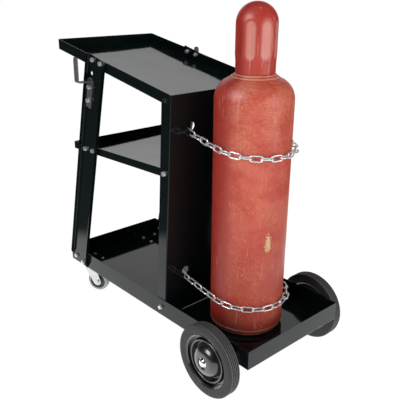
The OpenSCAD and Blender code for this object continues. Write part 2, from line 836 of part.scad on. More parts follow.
module caster_tyre(side) {
  r_in = caster_r - 8.2 + 0.02;
  w = caster_w / 2;
  color("#b7b9ba") caster_wheel_place(side) rotate_extrude($fn = 96) polygon(concat(
    [[r_in, -w + 0.6]],
    [for (i = [0:8]) let (a = -90 + 90 * i / 8)
      [caster_r - 6 + 5 * cos(a), -w + 6 + 6 * sin(a)]],
    [[caster_r, 0]],
    [for (i = [0:8]) let (a = 90 * i / 8)
      [caster_r - 6 + 5 * cos(a), w - 6 + 6 * sin(a)]],
    [[r_in, w - 0.6]]
  ));
}

// ----------------------------------------------------------- gas cylinder

shoulder_r = 49.5;
neck_z = cyl_h + shoulder_r;                 // top of the shoulder
neck_r = 24;
neck_h = 26;
valve_seat_r = 13;                           // bore of the neck
thread_r = cap_d / 2 - 5;                    // outside of the neck ring's thread
cap_wall = 6;

module cylinder_place() {
  translate([cyl_x, cyl_y, cyl_z]) children();
}

// The shoulder's half section, at depth t below the outside.
function shoulder(t) = arc([cyl_r - shoulder_r, cyl_h], shoulder_r - t, 0, 100, 14);
// Height of the shoulder's outside at radius r.
function shoulder_z(r) = cyl_h + sqrt(pow(shoulder_r, 2) - pow(r - cyl_r + shoulder_r, 2));

module cylinder_shell() {
  dish = 12;
  color("#b8493e") cylinder_place() difference() {
    rotate_extrude($fn = 128) polygon(concat(
      [[0, dish], [cyl_r * 0.5, dish * 0.75], [cyl_r - 16, 0.8], [cyl_r - 13, 0]],
      arc([cyl_r - 9, 6.5], 6.5, 270, 360, 5),
      [[cyl_r - 2.5, 11], [cyl_r - 2.2, 12]],
      arc([cyl_r - 2, 14], 2, 270, 360, 4),
      shoulder(0),
      [[neck_r, neck_z + 0.1], [neck_r, neck_z + neck_h], [0, neck_z + neck_h]]
    ));
    rotate_extrude($fn = 128) polygon(concat(
      [[0, dish + cyl_wall], [cyl_r * 0.5, dish * 0.75 + cyl_wall]],
      arc([cyl_r - cyl_wall - 12, 12 + cyl_wall], 12, 290, 360, 5),
      shoulder(cyl_wall),
      [[valve_seat_r, neck_z - 6], [valve_seat_r, neck_z + neck_h + 1], [0, neck_z + neck_h + 1]]
    ));
  }
}

// The threaded ring peened on the neck, which the valve cap screws on.
module neck_ring() {
  lip = cap_d / 2 + 2.8;
  step = neck_z + 5.5;
  color("#a8443a") cylinder_place() difference() {
    rotate_extrude($fn = 128) polygon([
      [neck_r + 0.05, neck_z + 0.3], [cyl_r - shoulder_r, neck_z + 0.15],
      [(lip + thread_r) / 2, shoulder_z((lip + thread_r) / 2) + 0.15],
      [lip, shoulder_z(lip) + 0.15], [lip + 0.4, neck_z + 1.2], [lip, neck_z + 2.6],
      [cap_d / 2 - 0.4, step], [thread_r, step], [thread_r, step + 17],
      [thread_r - 1.5, step + 18.5], [neck_r + 0.05, step + 18.5]
    ]);
    for (i = [0:5])
      translate([0, 0, step + 2.6 + 2.4 * i]) rotate_extrude($fn = 96)
        polygon([[thread_r - 0.9, 0.6], [thread_r + 1, -0.6], [thread_r + 1, 1.8]]);
  }
}

// The valve stands in the neck: a tapered foot, a forged body with a side
// outlet, and a bonnet that takes the packing nut.
valve_z = neck_z + neck_h;
body_top = valve_z + 44;
outlet_z = valve_z + 20;
spindle_r = 4;

module valve_body() {
  color("#b9974f") cylinder_place() difference() {
    union() {
      translate([0, 0, valve_z - 22])
        cylinder(r1 = valve_seat_r - 1.2, r2 = valve_seat_r - 0.1, h = 22.4);
      translate([0, 0, valve_z + 0.1]) cylinder(r = 15.5, h = 6);
      translate([0, 0, valve_z + 6]) intersection() {
        translate([-14, -14, 0]) cube([28, 28, 28]);
        cylinder(r = 17.5, h = 28);
      }
      translate([0, 0, valve_z + 33.9]) cylinder(r = 11, h = body_top - valve_z - 33.9);
      translate([0, 0, outlet_z]) rotate([0, -90, 0]) cylinder(r = 10.4, h = 29);
      translate([-29, 0, outlet_z]) rotate([0, 90, 0])
        cylinder(r1 = 9.2, r2 = 11, h = 3);
    }
    translate([0, 0, outlet_z]) rotate([0, -90, 0]) cylinder(r = 5, h = 40);
    translate([0, 0, valve_z - 30]) cylinder(r = 4, h = 50);
    translate([0, 0, outlet_z + 6]) cylinder(r = spindle_r + run_gap, h = 60);
    translate([0, 0, outlet_z]) rotate([0, 90, 0]) translate([0, 0, 9]) cylinder(r = 5, h = 9);
  }
}

module packing_nut() {
  color("#c2a25c") cylinder_place() translate([0, 0, body_top + 0.02]) difference() {
    intersection() {
      hex(20, 11);
      cylinder(r1 = 13.5, r2 = 9.6, h = 11.6);
    }
    translate([0, 0, -1]) cylinder(r = spindle_r + run_gap, h = 20);
  }
}

module relief_plug() {
  color("#c2a25c") cylinder_place() translate([0, 0, outlet_z]) rotate([0, 90, 0]) {
    translate([0, 0, 9.5]) cylinder(r = 4.9, h = 5);
    translate([0, 0, 14.05]) hex(14, 5);
  }
}

// The handwheel turns with its spindle, and a nut holds it on.
wheel_z = body_top + 15;
module valve_spindle() {
  color("#b9bcbe") cylinder_place() {
    translate([0, 0, outlet_z + 9]) cylinder(r = spindle_r, h = wheel_z - outlet_z - 9);
    translate([0, 0, wheel_z - 0.5]) cylinder(r = spindle_r - 1, h = 16.5);
  }
}

module handwheel() {
  r = 27;
  color("#7d8083") cylinder_place() translate([0, 0, wheel_z]) difference() {
    union() {
      rotate_extrude($fn = 96) translate([r, 5]) circle(r = 3.6, $fn = 32);
      translate([0, 0, 0.1]) cylinder(r = 8.5, h = 9);
      for (i = [0:4]) rotate([0, 0, 72 * i])
        translate([0, -2.6, 2.6]) cube([r - 1.5, 5.2, 4.2]);
    }
    translate([0, 0, -1]) cylinder(r = spindle_r - 1 + 0.03, h = 20);
    for (i = [0:9]) rotate([0, 0, 36 * i])
      translate([r + 5.2, 0, -2]) cylinder(r = 3, h = 16);
  }
}

module handwheel_nut() {
  color("#b9bcbe") cylinder_place() translate([0, 0, wheel_z + 9.12]) difference() {
    hex(10, 5);
    translate([0, 0, -1]) cylinder(r = spindle_r - 1 + 0.03, h = 8);
  }
}

// -------------------------------------------------------------- valve cap

flutes = 8;
flute_turn = 26;                             // direction of the vented flute
flute_r = 60;
flute_depth = 3.4;
flute_low = 45;                              // centre of the flute's lower end
flute_high = 95;
cap_z = neck_z + 5.6;                        // foot of the cap, on the neck ring

module cap_form(r, low, inset) {
  dome = cap_d / 2 - inset;
  rotate_extrude($fn = 128) polygon(concat(
    [[0, low], [r, low], [r, 24], [dome, 40]],
    [for (i = [0:14]) let (a = 90 * i / 14)
      [dome * cos(a), cap_h - inset - 44 + 44 * sin(a)]]
  ));
}

module valve_cap() {
  color("#c23a2c") cylinder_place() translate([0, 0, cap_z]) difference() {
    cap_form(cap_d / 2 - 1.4, 0, 0);
    cap_form(thread_r + 0.5, -1, cap_wall);
    for (i = [0:flutes - 1]) rotate([0, 0, flute_turn + i * 360 / flutes])
      translate([cap_d / 2 + flute_r - flute_depth, 0, 0]) {
        translate([0, 0, flute_low]) cylinder(r = flute_r, h = flute_high - flute_low);
        translate([0, 0, flute_low]) sphere(r = flute_r, $fn = 96);
        translate([0, 0, flute_high]) sphere(r = flute_r, $fn = 96);
      }
    for (a = [0, 180]) rotate([0, 0, flute_turn + a])
      translate([0, 0, 84]) rotate([0, 90, 0]) linear_extrude(80) {
        square([18, 9], center = true);
        for (e = [-1, 1]) translate([e * 9, 0]) circle(d = 9);
      }
  }
}

// ----------------------------------------------------------------- chains

// A link lies along x with its bows at both ends, in the x-z plane.
module link(pitch) {
  bow_r = (link_w - wire_d) / 2;
  straight = round(50 * (pitch + 0.5 + wire_d - 2 * bow_r)) / 50;
  for (e = [0, 180]) rotate([0, e, 0]) translate([straight / 2, 0, 0]) rotate([90, 0, 0])
    rotate([0, 0, -90]) rotate_extrude(angle = 180, $fn = 64)
      translate([bow_r, 0]) circle(d = wire_d, $fn = 32);
  for (z = [-bow_r, bow_r])
    translate([-straight / 2, 0, z]) rotate([0, 90, 0])
      cylinder(d = wire_d, h = straight, $fn = 32);
}

// The chain's line: straight from a keyhole to the cylinder, round it, and
// straight back. Every second link stands edge on against the wall.
lay_r = cyl_r + link_w / 2 + 0.35;
centre = [cyl_x, cyl_y];

function key_at(z, side) = [panel_rear_x(z) + 2.5, side * keyhole_y];
// Direction, from the cylinder's axis, where the straight run touches.
function touch_angle(p, side) =
  let (v = p - centre)
  atan2(v.y, v.x) - side * acos(lay_r / norm(v)) + (side < 0 ? 360 : 0);
function run_len(p) = let (v = p - centre) sqrt(v * v - lay_r * lay_r);

// Plan position and heading at distance s along the chain's line.
function chain_at(z, s) =
  let (p0 = key_at(z, -1), p1 = key_at(z, 1))
  let (a0 = touch_angle(p0, -1), a1 = touch_angle(p1, 1) + 360)
  let (l0 = run_len(p0), l1 = run_len(p1), round_len = lay_r * (a1 - a0) * PI / 180)
  let (t0 = centre + lay_r * [cos(a0), sin(a0)], t1 = centre + lay_r * [cos(a1), sin(a1)])
  s < l0 ? [p0 + (t0 - p0) * s / l0, a0 + 90] :
  s < l0 + round_len ?
    let (a = a0 + (s - l0) / lay_r * 180 / PI)
    [centre + lay_r * [cos(a), sin(a)], a + 90] :
    [t1 + (p1 - t1) * (s - l0 - round_len) / l1, a1 + 90];

function chain_len(z) =
  let (p0 = key_at(z, -1), p1 = key_at(z, 1))
  run_len(p0) + run_len(p1)
  + lay_r * (touch_angle(p1, 1) + 360 - touch_angle(p0, -1)) * PI / 180;

// Height and its slope: a hanging curve, lowest at the cylinder's front.
function chain_z(z, sag, s) =
  let (u = abs(2 * s / chain_len(z) - 1)) z - sag * (1 - u * u);

// Puts a part that is made along x on the chain's line at distance s.
module on_chain(z, sag, s) {
  at = chain_at(z, s);
  climb = atan2(chain_z(z, sag, s + 1) - chain_z(z, sag, s - 1), 2);
  translate([at[0].x, at[0].y, chain_z(z, sag, s)])
    rotate([0, 0, at[1]]) rotate([0, -climb, 0]) children();
}

// The leads are the first link ahead of each keyhole, a piece of their own
// where leads is true and left out of the chain where it is false.
module chain(key_z, sag, leads) {
  z = key_z - keyslot_drop + link_w / 2 + 0.2;
  total = chain_len(z);
  n = 2 * round(total / link_pitch / 2);
  pitch = total / n;
  color("#d6d8da") {
    for (i = [0:n])
      if (leads == undef || leads == (i == 1 || i == n - 1))
        on_chain(z, sag, i * pitch) rotate([i % 2 * 90, 0, 0]) link(pitch);
    if (leads != true)
      for (end = [0, 1]) chain_tail(z, sag, end * total, 2 * end - 1, pitch);
  }
}

// Behind the panel a crosswise link holds the chain, and a tail hangs down.
module chain_tail(z, sag, s, way, pitch) {
  reach = pitch + (pitch + 0.5 + wire_d) / 2;
  at = chain_at(z, s);
  climb = atan2(chain_z(z, sag, s + 1) - chain_z(z, sag, s - 1), 2);
  end = concat(at[0], chain_z(z, sag, s))
    + way * reach * [cos(at[1]) * cos(climb), sin(at[1]) * cos(climb), sin(climb)];
  on_chain(z, sag, s) translate([way * pitch, 0, 0]) rotate([90, 0, 0]) link(pitch);
  for (i = [0:tail_links - 1])
    translate(end + [0, 0, wire_d + 0.2 - (pitch + 0.5 + wire_d) / 2 - i * pitch])
      rotate([0, 0, at[1] + i % 2 * 90]) rotate([0, 90, 0]) link(pitch);
}

module upper_chain() {
  chain(upper_key_z, upper_sag);
}

module lower_chain() {
  chain(lower_key_z, lower_sag, false);
}

module lower_chain_leads() {
  chain(lower_key_z, lower_sag, true);
}

// ------------------------------------------------------------------ nodes

base_tray();
middle_shelf();
top_tray();
back_panel();
post(-1);  // post_near
post(1);  // post_far
cable_hook(-1);  // cable_hook_near
cable_hook(1);  // cable_hook_far
post_bolts();
post_nuts();
hook_bolts();
hook_nuts();
panel_bolts();
panel_top_screws();
panel_nuts();
axle();
axle_brackets();
axle_washers();
axle_caps();
caster_plate(-1);  // caster_plate_near
caster_plate(1);  // caster_plate_far
caster_bolts();
caster_nuts();
caster_kingpins();
upper_chain();
lower_chain();
lower_chain_leads();
wheel_outer_disc(-1);  // wheel_outer_disc_near
wheel_outer_disc(1);  // wheel_outer_disc_far
wheel_inner_disc(-1);  // wheel_inner_disc_near
wheel_inner_disc(1);  // wheel_inner_disc_far
wheel_hub(-1);  // wheel_hub_near
wheel_hub(1);  // wheel_hub_far
rear_tyre(-1);  // rear_tyre_near
rear_tyre(1);  // rear_tyre_far
caster_fork(-1);  // caster_fork_near
caster_fork(1);  // caster_fork_far
caster_race(-1);  // caster_race_near
caster_race(1);  // caster_race_far
caster_axle(-1);  // caster_axle_near
caster_axle(1);  // caster_axle_far
caster_sleeve(-1);  // caster_sleeve_near
caster_sleeve(1);  // caster_sleeve_far
caster_core(-1);  // caster_core_near
caster_core(1);  // caster_core_far
caster_tyre(-1);  // caster_tyre_near
caster_tyre(1);  // caster_tyre_far
cylinder_shell();
neck_ring();
valve_body();
packing_nut();
relief_plug();
valve_cap();
valve_spindle();
handwheel();
handwheel_nut();
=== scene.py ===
# %% [markdown]
# # Oxy acetylene torch cart
# A welder's cart of folded black sheet steel. It has a sloped top tray, a middle
# shelf, two rear wheels, two swivel casters and a bay at the back, where two
# chains hold a capped gas cylinder. The CAD model gives every size and joint.
# This lesson gives each part its surface: some parts are drawn again with finer
# shapes, and all of them get a material that is made of nodes.

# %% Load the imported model
import json

import bmesh
import bpy
import numpy as np
from mathutils import Matrix

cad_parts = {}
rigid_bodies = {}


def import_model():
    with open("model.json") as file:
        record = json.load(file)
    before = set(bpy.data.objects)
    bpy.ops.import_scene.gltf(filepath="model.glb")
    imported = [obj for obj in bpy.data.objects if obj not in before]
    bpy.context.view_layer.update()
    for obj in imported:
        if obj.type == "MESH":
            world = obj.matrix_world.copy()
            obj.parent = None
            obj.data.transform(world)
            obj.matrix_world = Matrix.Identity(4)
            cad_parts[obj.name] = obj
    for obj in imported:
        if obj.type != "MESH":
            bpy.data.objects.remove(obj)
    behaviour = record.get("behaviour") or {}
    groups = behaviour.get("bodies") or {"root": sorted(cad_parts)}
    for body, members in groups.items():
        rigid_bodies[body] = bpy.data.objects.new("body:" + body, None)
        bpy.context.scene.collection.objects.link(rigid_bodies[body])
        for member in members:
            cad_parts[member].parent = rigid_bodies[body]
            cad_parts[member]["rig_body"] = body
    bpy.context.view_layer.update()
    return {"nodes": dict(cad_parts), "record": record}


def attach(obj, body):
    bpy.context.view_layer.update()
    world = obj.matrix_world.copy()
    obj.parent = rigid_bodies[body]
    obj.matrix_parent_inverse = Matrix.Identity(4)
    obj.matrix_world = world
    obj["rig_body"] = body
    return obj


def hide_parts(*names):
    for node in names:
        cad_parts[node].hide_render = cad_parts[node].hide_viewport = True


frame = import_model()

# %% [markdown]
# ## Camera
# The cart is seen from its rear corner and from a little above its top tray,
# through a lens of about 52 mm. The camera is stated by its place and by three
# directions: to the right, up, and forwards. They are the columns of its matrix,
# because a camera in Blender looks along its own -Z.

# %% Camera
place = np.array([1.067904, -0.939587, 0.883182])
to_right = np.array([0.66983, 0.74247, 0.00793])
upwards = np.array([-0.26558, 0.22959, 0.93635])
forwards = np.array([-0.69339, 0.62931, -0.35097])

camera = bpy.data.objects.new("camera", bpy.data.cameras.new("camera"))
bpy.context.scene.collection.objects.link(camera)
camera.data.sensor_width = 36
camera.data.lens = 52.41
camera.data.clip_start = 0.02
turn = np.eye(4)
turn[:3] = np.column_stack([to_right, upwards, -forwards, place])
camera.matrix_world = Matrix(turn.tolist())
bpy.context.scene.camera = camera
print("camera", place, "lens", camera.data.lens)

# %% [markdown]
# ## Sizes
# These are the CAD model's own sizes in millimetres. Shapes use them as they
# stand, and a finish that depends on a place divides them by a thousand, since
# Object coordinates are metres.

# %% Sizes
WHEEL_X, WHEEL_Y, WHEEL_Z = 268.0, 183.0, 87.0  # middle of a rear wheel
HALF = 14.0  # half of the rear tyre's width
RIM, TREAD = 65.0, 87.0  # radii of the rear rim and tread
GROOVES = np.array([7.5, 2.5, -2.5, -7.5])  # tread grooves, from the wheel's middle plane
CASTER_X, CASTER_Y, CASTER_Z = -321.0, 115.0, 32.0  # swivel axis, and height of the caster's axle
CASTER_TRAIL, CASTER_TURN = 19.0, 30.0  # axle behind the swivel axis, and degrees it has turned
CYL_X, CYL_Y, CYL_Z, CYL_R = 211.5, -6.0, 98.8, 88.0  # middle of the cylinder's foot, and radius
WALL_TOP, SHOULDER = 547.5, 49.5  # height of the straight wall, and radius of the shoulder
NECK_Z = WALL_TOP + SHOULDER
PANEL_X, PANEL_LEAN, FLOOR_Z = 78.0, 3.14, 98.7  # foot of the panel, its lean, the tray's floor
KEYHOLE_Y, KEY_DROP = 94.0, 24.6  # keyhole off the middle, and length of its slot
WIRE, LINK_W, PITCH = 3.7, 16.0, 24.4  # chain wire, width of a link, nominal pitch
print("wheel", 2 * TREAD, "mm, cylinder", 2 * CYL_R, "mm across")

# %% [markdown]
# ## Colours and nodes
# Colours are written as sRGB hex, as paint charts give them, but shaders add up
# light and so want linear values. One function turns the first into the second.
# A second feeds a node's inputs: what comes from another node is linked, and a
# number or a colour is set. The third adds a node of any kind with its settings
# and feeds it. The fourth gives any texture its place and a scale that is worked
# out from a real size, and the last one starts a material: a Principled shader
# and the object's own coordinates in metres.

# %% Colours and nodes
def linear(hex_colour):
    """sRGB hex to linear RGBA: each channel to the power 2.4 above the short straight toe."""
    c = np.array([int(hex_colour[i : i + 2], 16) for i in (1, 3, 5)]) / 255
    c = np.where(c <= 0.04045, c / 12.92, ((c + 0.055) / 1.055) ** 2.4)
    return (*c.tolist(), 1.0)


def feed(tree, node, inputs):
    """Links each input to a socket, or to the output in use of a node, or sets its value."""
    for key, value in inputs.items():
        if isinstance(value, bpy.types.Node):
            value = next(socket for socket in value.outputs if socket.enabled)
        if isinstance(value, bpy.types.NodeSocket):
            tree.links.new(value, node.inputs[key])
        else:
            node.inputs[key].default_value = value
    return node


def add(tree, kind, inputs=None, **settings):
    """Adds one node of any kind: its settings first, then its inputs."""
    node = tree.nodes.new("ShaderNode" + kind)
    for key, value in settings.items():
        setattr(node, key, value)
    return feed(tree, node, inputs or {})


def sized(at, mm, detail=2.0, rough=0.5):
    """Inputs of a texture with features mm wide: its scale is 1000 / mm, since at is in metres."""
    return {"Vector": at, "Scale": 1000.0 / mm, "Detail": detail, "Roughness": rough}


def start_finish(name):
    """A new material, its tree, its Principled shader and the socket with Object coordinates."""
    material = bpy.data.materials.new(name)
    material.use_nodes = True
    tree = material.node_tree
    return material, tree, tree.nodes["Principled BSDF"], add(tree, "TexCoord").outputs["Object"]


print("powder black in linear light", linear("#081213")[:3])

# %% [markdown]
# ## Glossy black powder coat
# The sheet steel is sprayed with black polyester powder that melts in an oven.
# That gives a hard, even gloss with orange peel: a shallow ripple about 2 mm
# across. Folded sheet also waves a little over its width, which bends the
# reflections, and some grey workshop dust lies on the faces that look up.
# A coat layer over a nearly black base gives the gloss, two bump nodes give
# ripple and wave, and the surface's own normal says where dust can lie.

# %% Glossy black powder coat
def powder_coat_black():
    """Black, with dust by (how far the face looks up) * (noise), under a rippled clear coat."""
    material, tree, shader, at = start_finish("powder_coat_black")
    wave = add(tree, "TexNoise", sized(at, 150, 1.0))
    peel = add(tree, "TexNoise", sized(at, 2.2))
    dust = add(tree, "TexNoise", sized(at, 34, 8.0, 0.65))
    normal = add(tree, "NewGeometry").outputs["Normal"]
    up = add(tree, "SeparateXYZ", {0: normal}).outputs["Z"]
    up = add(tree, "MapRange", {0: up, 1: 0.7, 2: 1.0})
    lies = add(tree, "MapRange", {0: dust, 1: 0.42, 2: 0.75, 4: 0.05})
    lies = add(tree, "Math", {0: up, 1: lies}, operation="MULTIPLY")
    black, grey = linear("#081213"), linear("#77736c")
    bend = add(tree, "Bump", {"Height": wave, "Strength": 1.0, "Distance": 0.0012})
    relief = {"Height": peel, "Strength": 0.5, "Distance": 0.00002, "Normal": bend}
    ripple = add(tree, "Bump", relief)
    feed(tree, shader, {
        "Base Color": add(tree, "Mix", {0: lies, 6: black, 7: grey}, data_type="RGBA"),
        "Roughness": add(tree, "MapRange", {0: dust, 1: 0.3, 2: 0.7, 3: 0.3, 4: 0.42}),
        "Normal": ripple, "Coat Normal": ripple, "Specular IOR Level": 0.0,
        "Coat Weight": 1.0, "Coat Roughness": 0.08, "Coat IOR": 1.34,
    })
    return material


# %% [markdown]
# ## Plated and turned steel
# Bolts, nuts and casters are zinc plated: bright, a little blue, and softly
# mottled where the plating bath left it. Chain is the same plate on drawn wire.
# The cable hooks carry an older, duller plate, and axle and hubs are turned
# steel. All keep the default IOR, and only colour, roughness, a little bump and
# how metallic they are tell them apart, so one function with a few numbers
# makes the whole family.

# %% Plated and turned steel
def bare_metal(name, light, dark, smooth, rough, mottle_mm, relief, metallic=1.0):
    """Metal whose colour and roughness drift over mottle_mm; metallic under 1 is a film."""
    material, tree, shader, at = start_finish(name)
    mottle = add(tree, "TexNoise", sized(at, mottle_mm, 4.0, 0.6))
    grain = add(tree, "TexNoise", sized(at, 0.9))
    shades = {0: mottle, 6: linear(light), 7: linear(dark)}
    feed(tree, shader, {
        "Base Color": add(tree, "Mix", shades, data_type="RGBA"),
        "Roughness": add(tree, "MapRange", {0: mottle, 1: 0.3, 2: 0.7, 3: smooth, 4: rough}),
        "Normal": add(tree, "Bump", {"Height": grain, "Strength": 0.5, "Distance": relief}),
        "Metallic": metallic,
    })
    return material


# %% [markdown]
# ## Wheel enamel
# The pressed wheel discs are dipped in black enamel. It flows into one smooth
# skin, glossier than powder coat and without its peel, so only a broad, shallow
# unevenness and a few dull patches of road dust are left to add.

# %% Wheel enamel
def enamel_black():
    """Black, with up to 6% of road dust by noise, under a clear coat with a broad relief."""
    material, tree, shader, at = start_finish("wheel_enamel_black")
    flow = add(tree, "TexNoise", sized(at, 26, 1.0))
    flow = add(tree, "Bump", {"Height": flow, "Strength": 1.0, "Distance": 0.0002})
    film = add(tree, "TexNoise", sized(at, 9, 6.0, 0.7))
    film = add(tree, "MapRange", {0: film, 1: 0.5, 2: 0.8, 4: 0.06})
    shades = {0: film, 6: linear("#0d0e0f"), 7: linear("#5a5854")}
    feed(tree, shader, {
        "Base Color": add(tree, "Mix", shades, data_type="RGBA"),
        "Normal": flow, "Coat Normal": flow,
        "Roughness": 0.35, "Coat Weight": 1.0, "Coat Roughness": 0.07,
    })
    return material


# %% [markdown]
# ## Rubber and moulded plastic
# The rear tyres are black rubber that has gone grey and matt, with fine dust in
# the pores. The caster tyres are pale grey thermoplastic rubber, and their cores
# dark moulded polypropylene. None of them shines, so roughness is high, and a
# speckle under a millimetre wide gives the pores. Black oxide on the panel's top
# screws is as matt, so it comes from the same function.

# %% Rubber and moulded plastic
def soft_moulding(name, base, worn, wear_mm, rough, grain_mm=0.8, relief=0.00006):
    """A matt moulding: base colour, worn to a second colour in blotches wear_mm wide."""
    material, tree, shader, at = start_finish(name)
    wear = add(tree, "TexNoise", sized(at, wear_mm, 7.0, 0.7))
    grain = add(tree, "TexNoise", sized(at, grain_mm))
    amount = add(tree, "MapRange", {0: wear, 1: 0.38, 2: 0.68})
    shades = {0: amount, 6: linear(base), 7: linear(worn)}
    dull = {0: wear, 1: 0.3, 2: 0.7, 3: rough - 0.08, 4: rough + 0.08}
    feed(tree, shader, {
        "Base Color": add(tree, "Mix", shades, data_type="RGBA"),
        "Roughness": add(tree, "MapRange", dull),
        "Normal": add(tree, "Bump", {"Height": grain, "Strength": 0.6, "Distance": relief}),
    })
    return material


# %% [markdown]
# ## Worn red enamel
# A hire cylinder is repainted many times and then knocked about. Its red enamel
# has chalked to a paler, duller red in patches, and darker paint shows between
# them. Near the shoulder, where it is rolled on its edge and knocks against its
# neighbours, thin scuffs run round it and show the orange coat below. Further
# down there are only runs of old paint, which are long and upright, and specks.
# Noise picks between the paints. It is squeezed along Z to stretch it round the
# wall and stretched along Z to draw a run, and the height says which one counts.
# One side, the one that gets no light, is painted a deeper red and its wear is
# weaker: that is painted shade, laid by the direction from the axis. Along the
# ridges a pale line is a painted highlight, and one large chip is a noisy ellipse.

# %% Where the painted shade lies, and where the paint is chipped
PAINTED_SHADE_WAY = (-0.62, -0.78, 0.0)  # direction of the side with the painted shade


def painted_shade_side(tree, at):
    """1 on the side that gets painted shade and 0 elsewhere: the cosine to that side's direction,
    from the axis.
    """
    axis = (CYL_X / 1000, CYL_Y / 1000, 0.0)
    out = add(tree, "VectorMath", {0: at, 1: axis}, operation="SUBTRACT")
    out = add(tree, "VectorMath", {0: out, 1: (1.0, 1.0, 0.0)}, operation="MULTIPLY")
    out = add(tree, "VectorMath", {0: out}, operation="NORMALIZE")
    cosine = add(tree, "VectorMath", {0: out, 1: PAINTED_SHADE_WAY}, operation="DOT_PRODUCT")
    return add(tree, "MapRange", {0: cosine, 1: 0.52, 2: 0.84}, interpolation_type="SMOOTHSTEP")


def chipped(tree, at, middle, ragged):
    """1 inside an upright ellipse about 13 mm wide, whose edge the noise moves by 6 mm."""
    away = add(tree, "VectorMath", {0: at, 1: middle}, operation="SUBTRACT")
    away = add(tree, "VectorMath", {0: away, 1: (1.0, 1.0, 0.36)}, operation="MULTIPLY")
    away = add(tree, "VectorMath", {0: away}, operation="LENGTH")
    ragged = add(tree, "MapRange", {0: ragged, 1: 0.3, 2: 0.7, 3: -0.006, 4: 0.006})
    away = add(tree, "Math", {0: away, 1: ragged}, operation="ADD")
    return add(tree, "MapRange", {0: away, 1: 0.0055, 2: 0.0075, 3: 0.85, 4: 0.0})


# %% Worn red enamel
WEAR = {  # width of the features in mm, detail, roughness, and how far Z is squeezed
    "patch": (70, 5, 0.6, 1.0),
    "blot": (17, 6, 0.65, 1.0),
    "fleck": (3.2, 3, 0.6, 1.0),
    "region": (48, 2, 0.5, 1.0),
    "mottle": (6, 8, 0.75, 1.0),
    "run": (7, 3, 0.55, 0.07),
    "scuff": (15, 7, 0.72, 6.0),
    "ragged": (5, 5, 0.7, 1.0),
}
NEVER = (9.0, 9.1)  # a height that no part reaches
EVERYWHERE = (-2.0, -1.9)  # a height that all parts are above


def worn_red_and_painted_shade(name, paints, orange, haze, scuffed=NEVER, deeper=EVERYWHERE, highlight_lines=(), chip=None):
    """Layers of paint, each laid by the product of its masks.

    Scuffs, and a darker red towards the bottom, set in over the heights scuffed and deeper,
    in metres. One side is darkened as painted shade, and pale lines of painted highlight lie
    at the heights given.
    """
    material, tree, shader, at = start_finish(name)
    fresh, chalk, deep, painted_shade_red = paints
    noise = {"height": add(tree, "SeparateXYZ", {0: at}).outputs["Z"]}
    for word, (mm, detail, rough, squeeze) in WEAR.items():
        squeezed = add(tree, "Mapping", {"Vector": at, "Scale": (1.0, 1.0, squeeze)})
        noise[word] = add(tree, "TexNoise", sized(squeezed, mm, detail, rough))
    ramps = {  # noise, where the mask starts and is full, and how full that is
        "chalked": ("patch", 0.38, 0.62, 1.0),
        "mottled": ("mottle", 0.42, 0.66, 0.4),
        "blotted": ("blot", 0.46, 0.74, 0.3),
        "shade_patches": ("patch", 0.2, 0.5, 0.75),
        "somewhere": ("region", 0.38, 0.58, 1.0),
        "runs": ("run", 0.6, 0.69, 0.55),
        "scuffs": ("scuff", 0.54, 0.62, orange),
        "specks": ("fleck", 0.57, 0.66, orange),
        "high_up": ("height", *scuffed, 1.0),
        "highlight_breaks": ("blot", 0.3, 0.5, 1.0),
    }
    # Painted shade: the side that gets no light is a darker red, and its wear is weaker.
    mask = {"painted_shade": painted_shade_side(tree, at)}
    mask["out_of_shade"] = add(tree, "MapRange", {0: mask["painted_shade"], 3: 1.0, 4: 0.2})
    # Darker red towards the bottom, below the heights in deeper.
    low = {0: noise["height"], 1: deeper[0], 2: deeper[1], 4: 0.52}
    mask["low_down"] = add(tree, "MapRange", low)
    for word, (of, start, full, most) in ramps.items():
        sockets = {0: noise[of], 1: start, 2: full, 4: most}
        mask[word] = add(tree, "MapRange", sockets, interpolation_type="SMOOTHSTEP")
    layers = [
        (["chalked", "out_of_shade"], chalk),
        (["mottled", "out_of_shade"], chalk),
        (["blotted"], deep),
        # painted shade: a deep red laid in patches on the side that gets no light
        (["painted_shade", "shade_patches"], painted_shade_red),
        (["low_down"], deep),
        (["runs", "somewhere"], "#d58a78"),
        (["scuffs", "high_up", "out_of_shade"], "#e08d5a"),
        (["specks", "somewhere", "out_of_shade"], "#e39a5c"),
    ]
    # Painted highlight: a pale line along each ridge, broken up by noise.
    for line in highlight_lines:
        off = add(tree, "Math", {0: noise["height"], 1: line}, operation="SUBTRACT")
        off = add(tree, "Math", {0: off}, operation="ABSOLUTE")
        mask[line] = add(tree, "MapRange", {0: off, 1: 0.0006, 2: 0.0016, 3: 0.9, 4: 0.0})
        layers.append(([line, "highlight_breaks"], "#dd9a80"))
    if chip:
        mask["chip"] = chipped(tree, at, chip, noise["ragged"])
        layers.append((["chip"], "#dcb88a"))
    paint = linear(fresh)
    for words, colour in layers:
        amount = mask[words[0]]
        for word in words[1:]:
            amount = add(tree, "Math", {0: amount, 1: mask[word]}, operation="MULTIPLY")
        paint = add(tree, "Mix", {0: amount, 6: paint, 7: linear(colour)}, data_type="RGBA")
    dents = add(tree, "Bump", {"Height": noise["blot"], "Strength": 0.5, "Distance": 0.0003})
    flakes = {"Height": noise["fleck"], "Strength": 0.35, "Distance": 0.0001, "Normal": dents}
    gloss = {0: noise["patch"], 1: 0.35, 2: 0.65, 3: haze, 4: haze + 0.14}
    feed(tree, shader, {
        "Base Color": paint,
        "Roughness": add(tree, "MapRange", gloss),
        "Normal": add(tree, "Bump", flakes),
    })
    return material


# %% [markdown]
# ## Valve cap enamel
# The cap was painted with the cylinder. Its flutes get a paler red as a painted
# highlight, the reflection that the hollow flutes catch, left off the side with
# painted shade. The cap's mesh carries the depth of the flutes as an attribute,
# and that picks where the painted highlight lies.

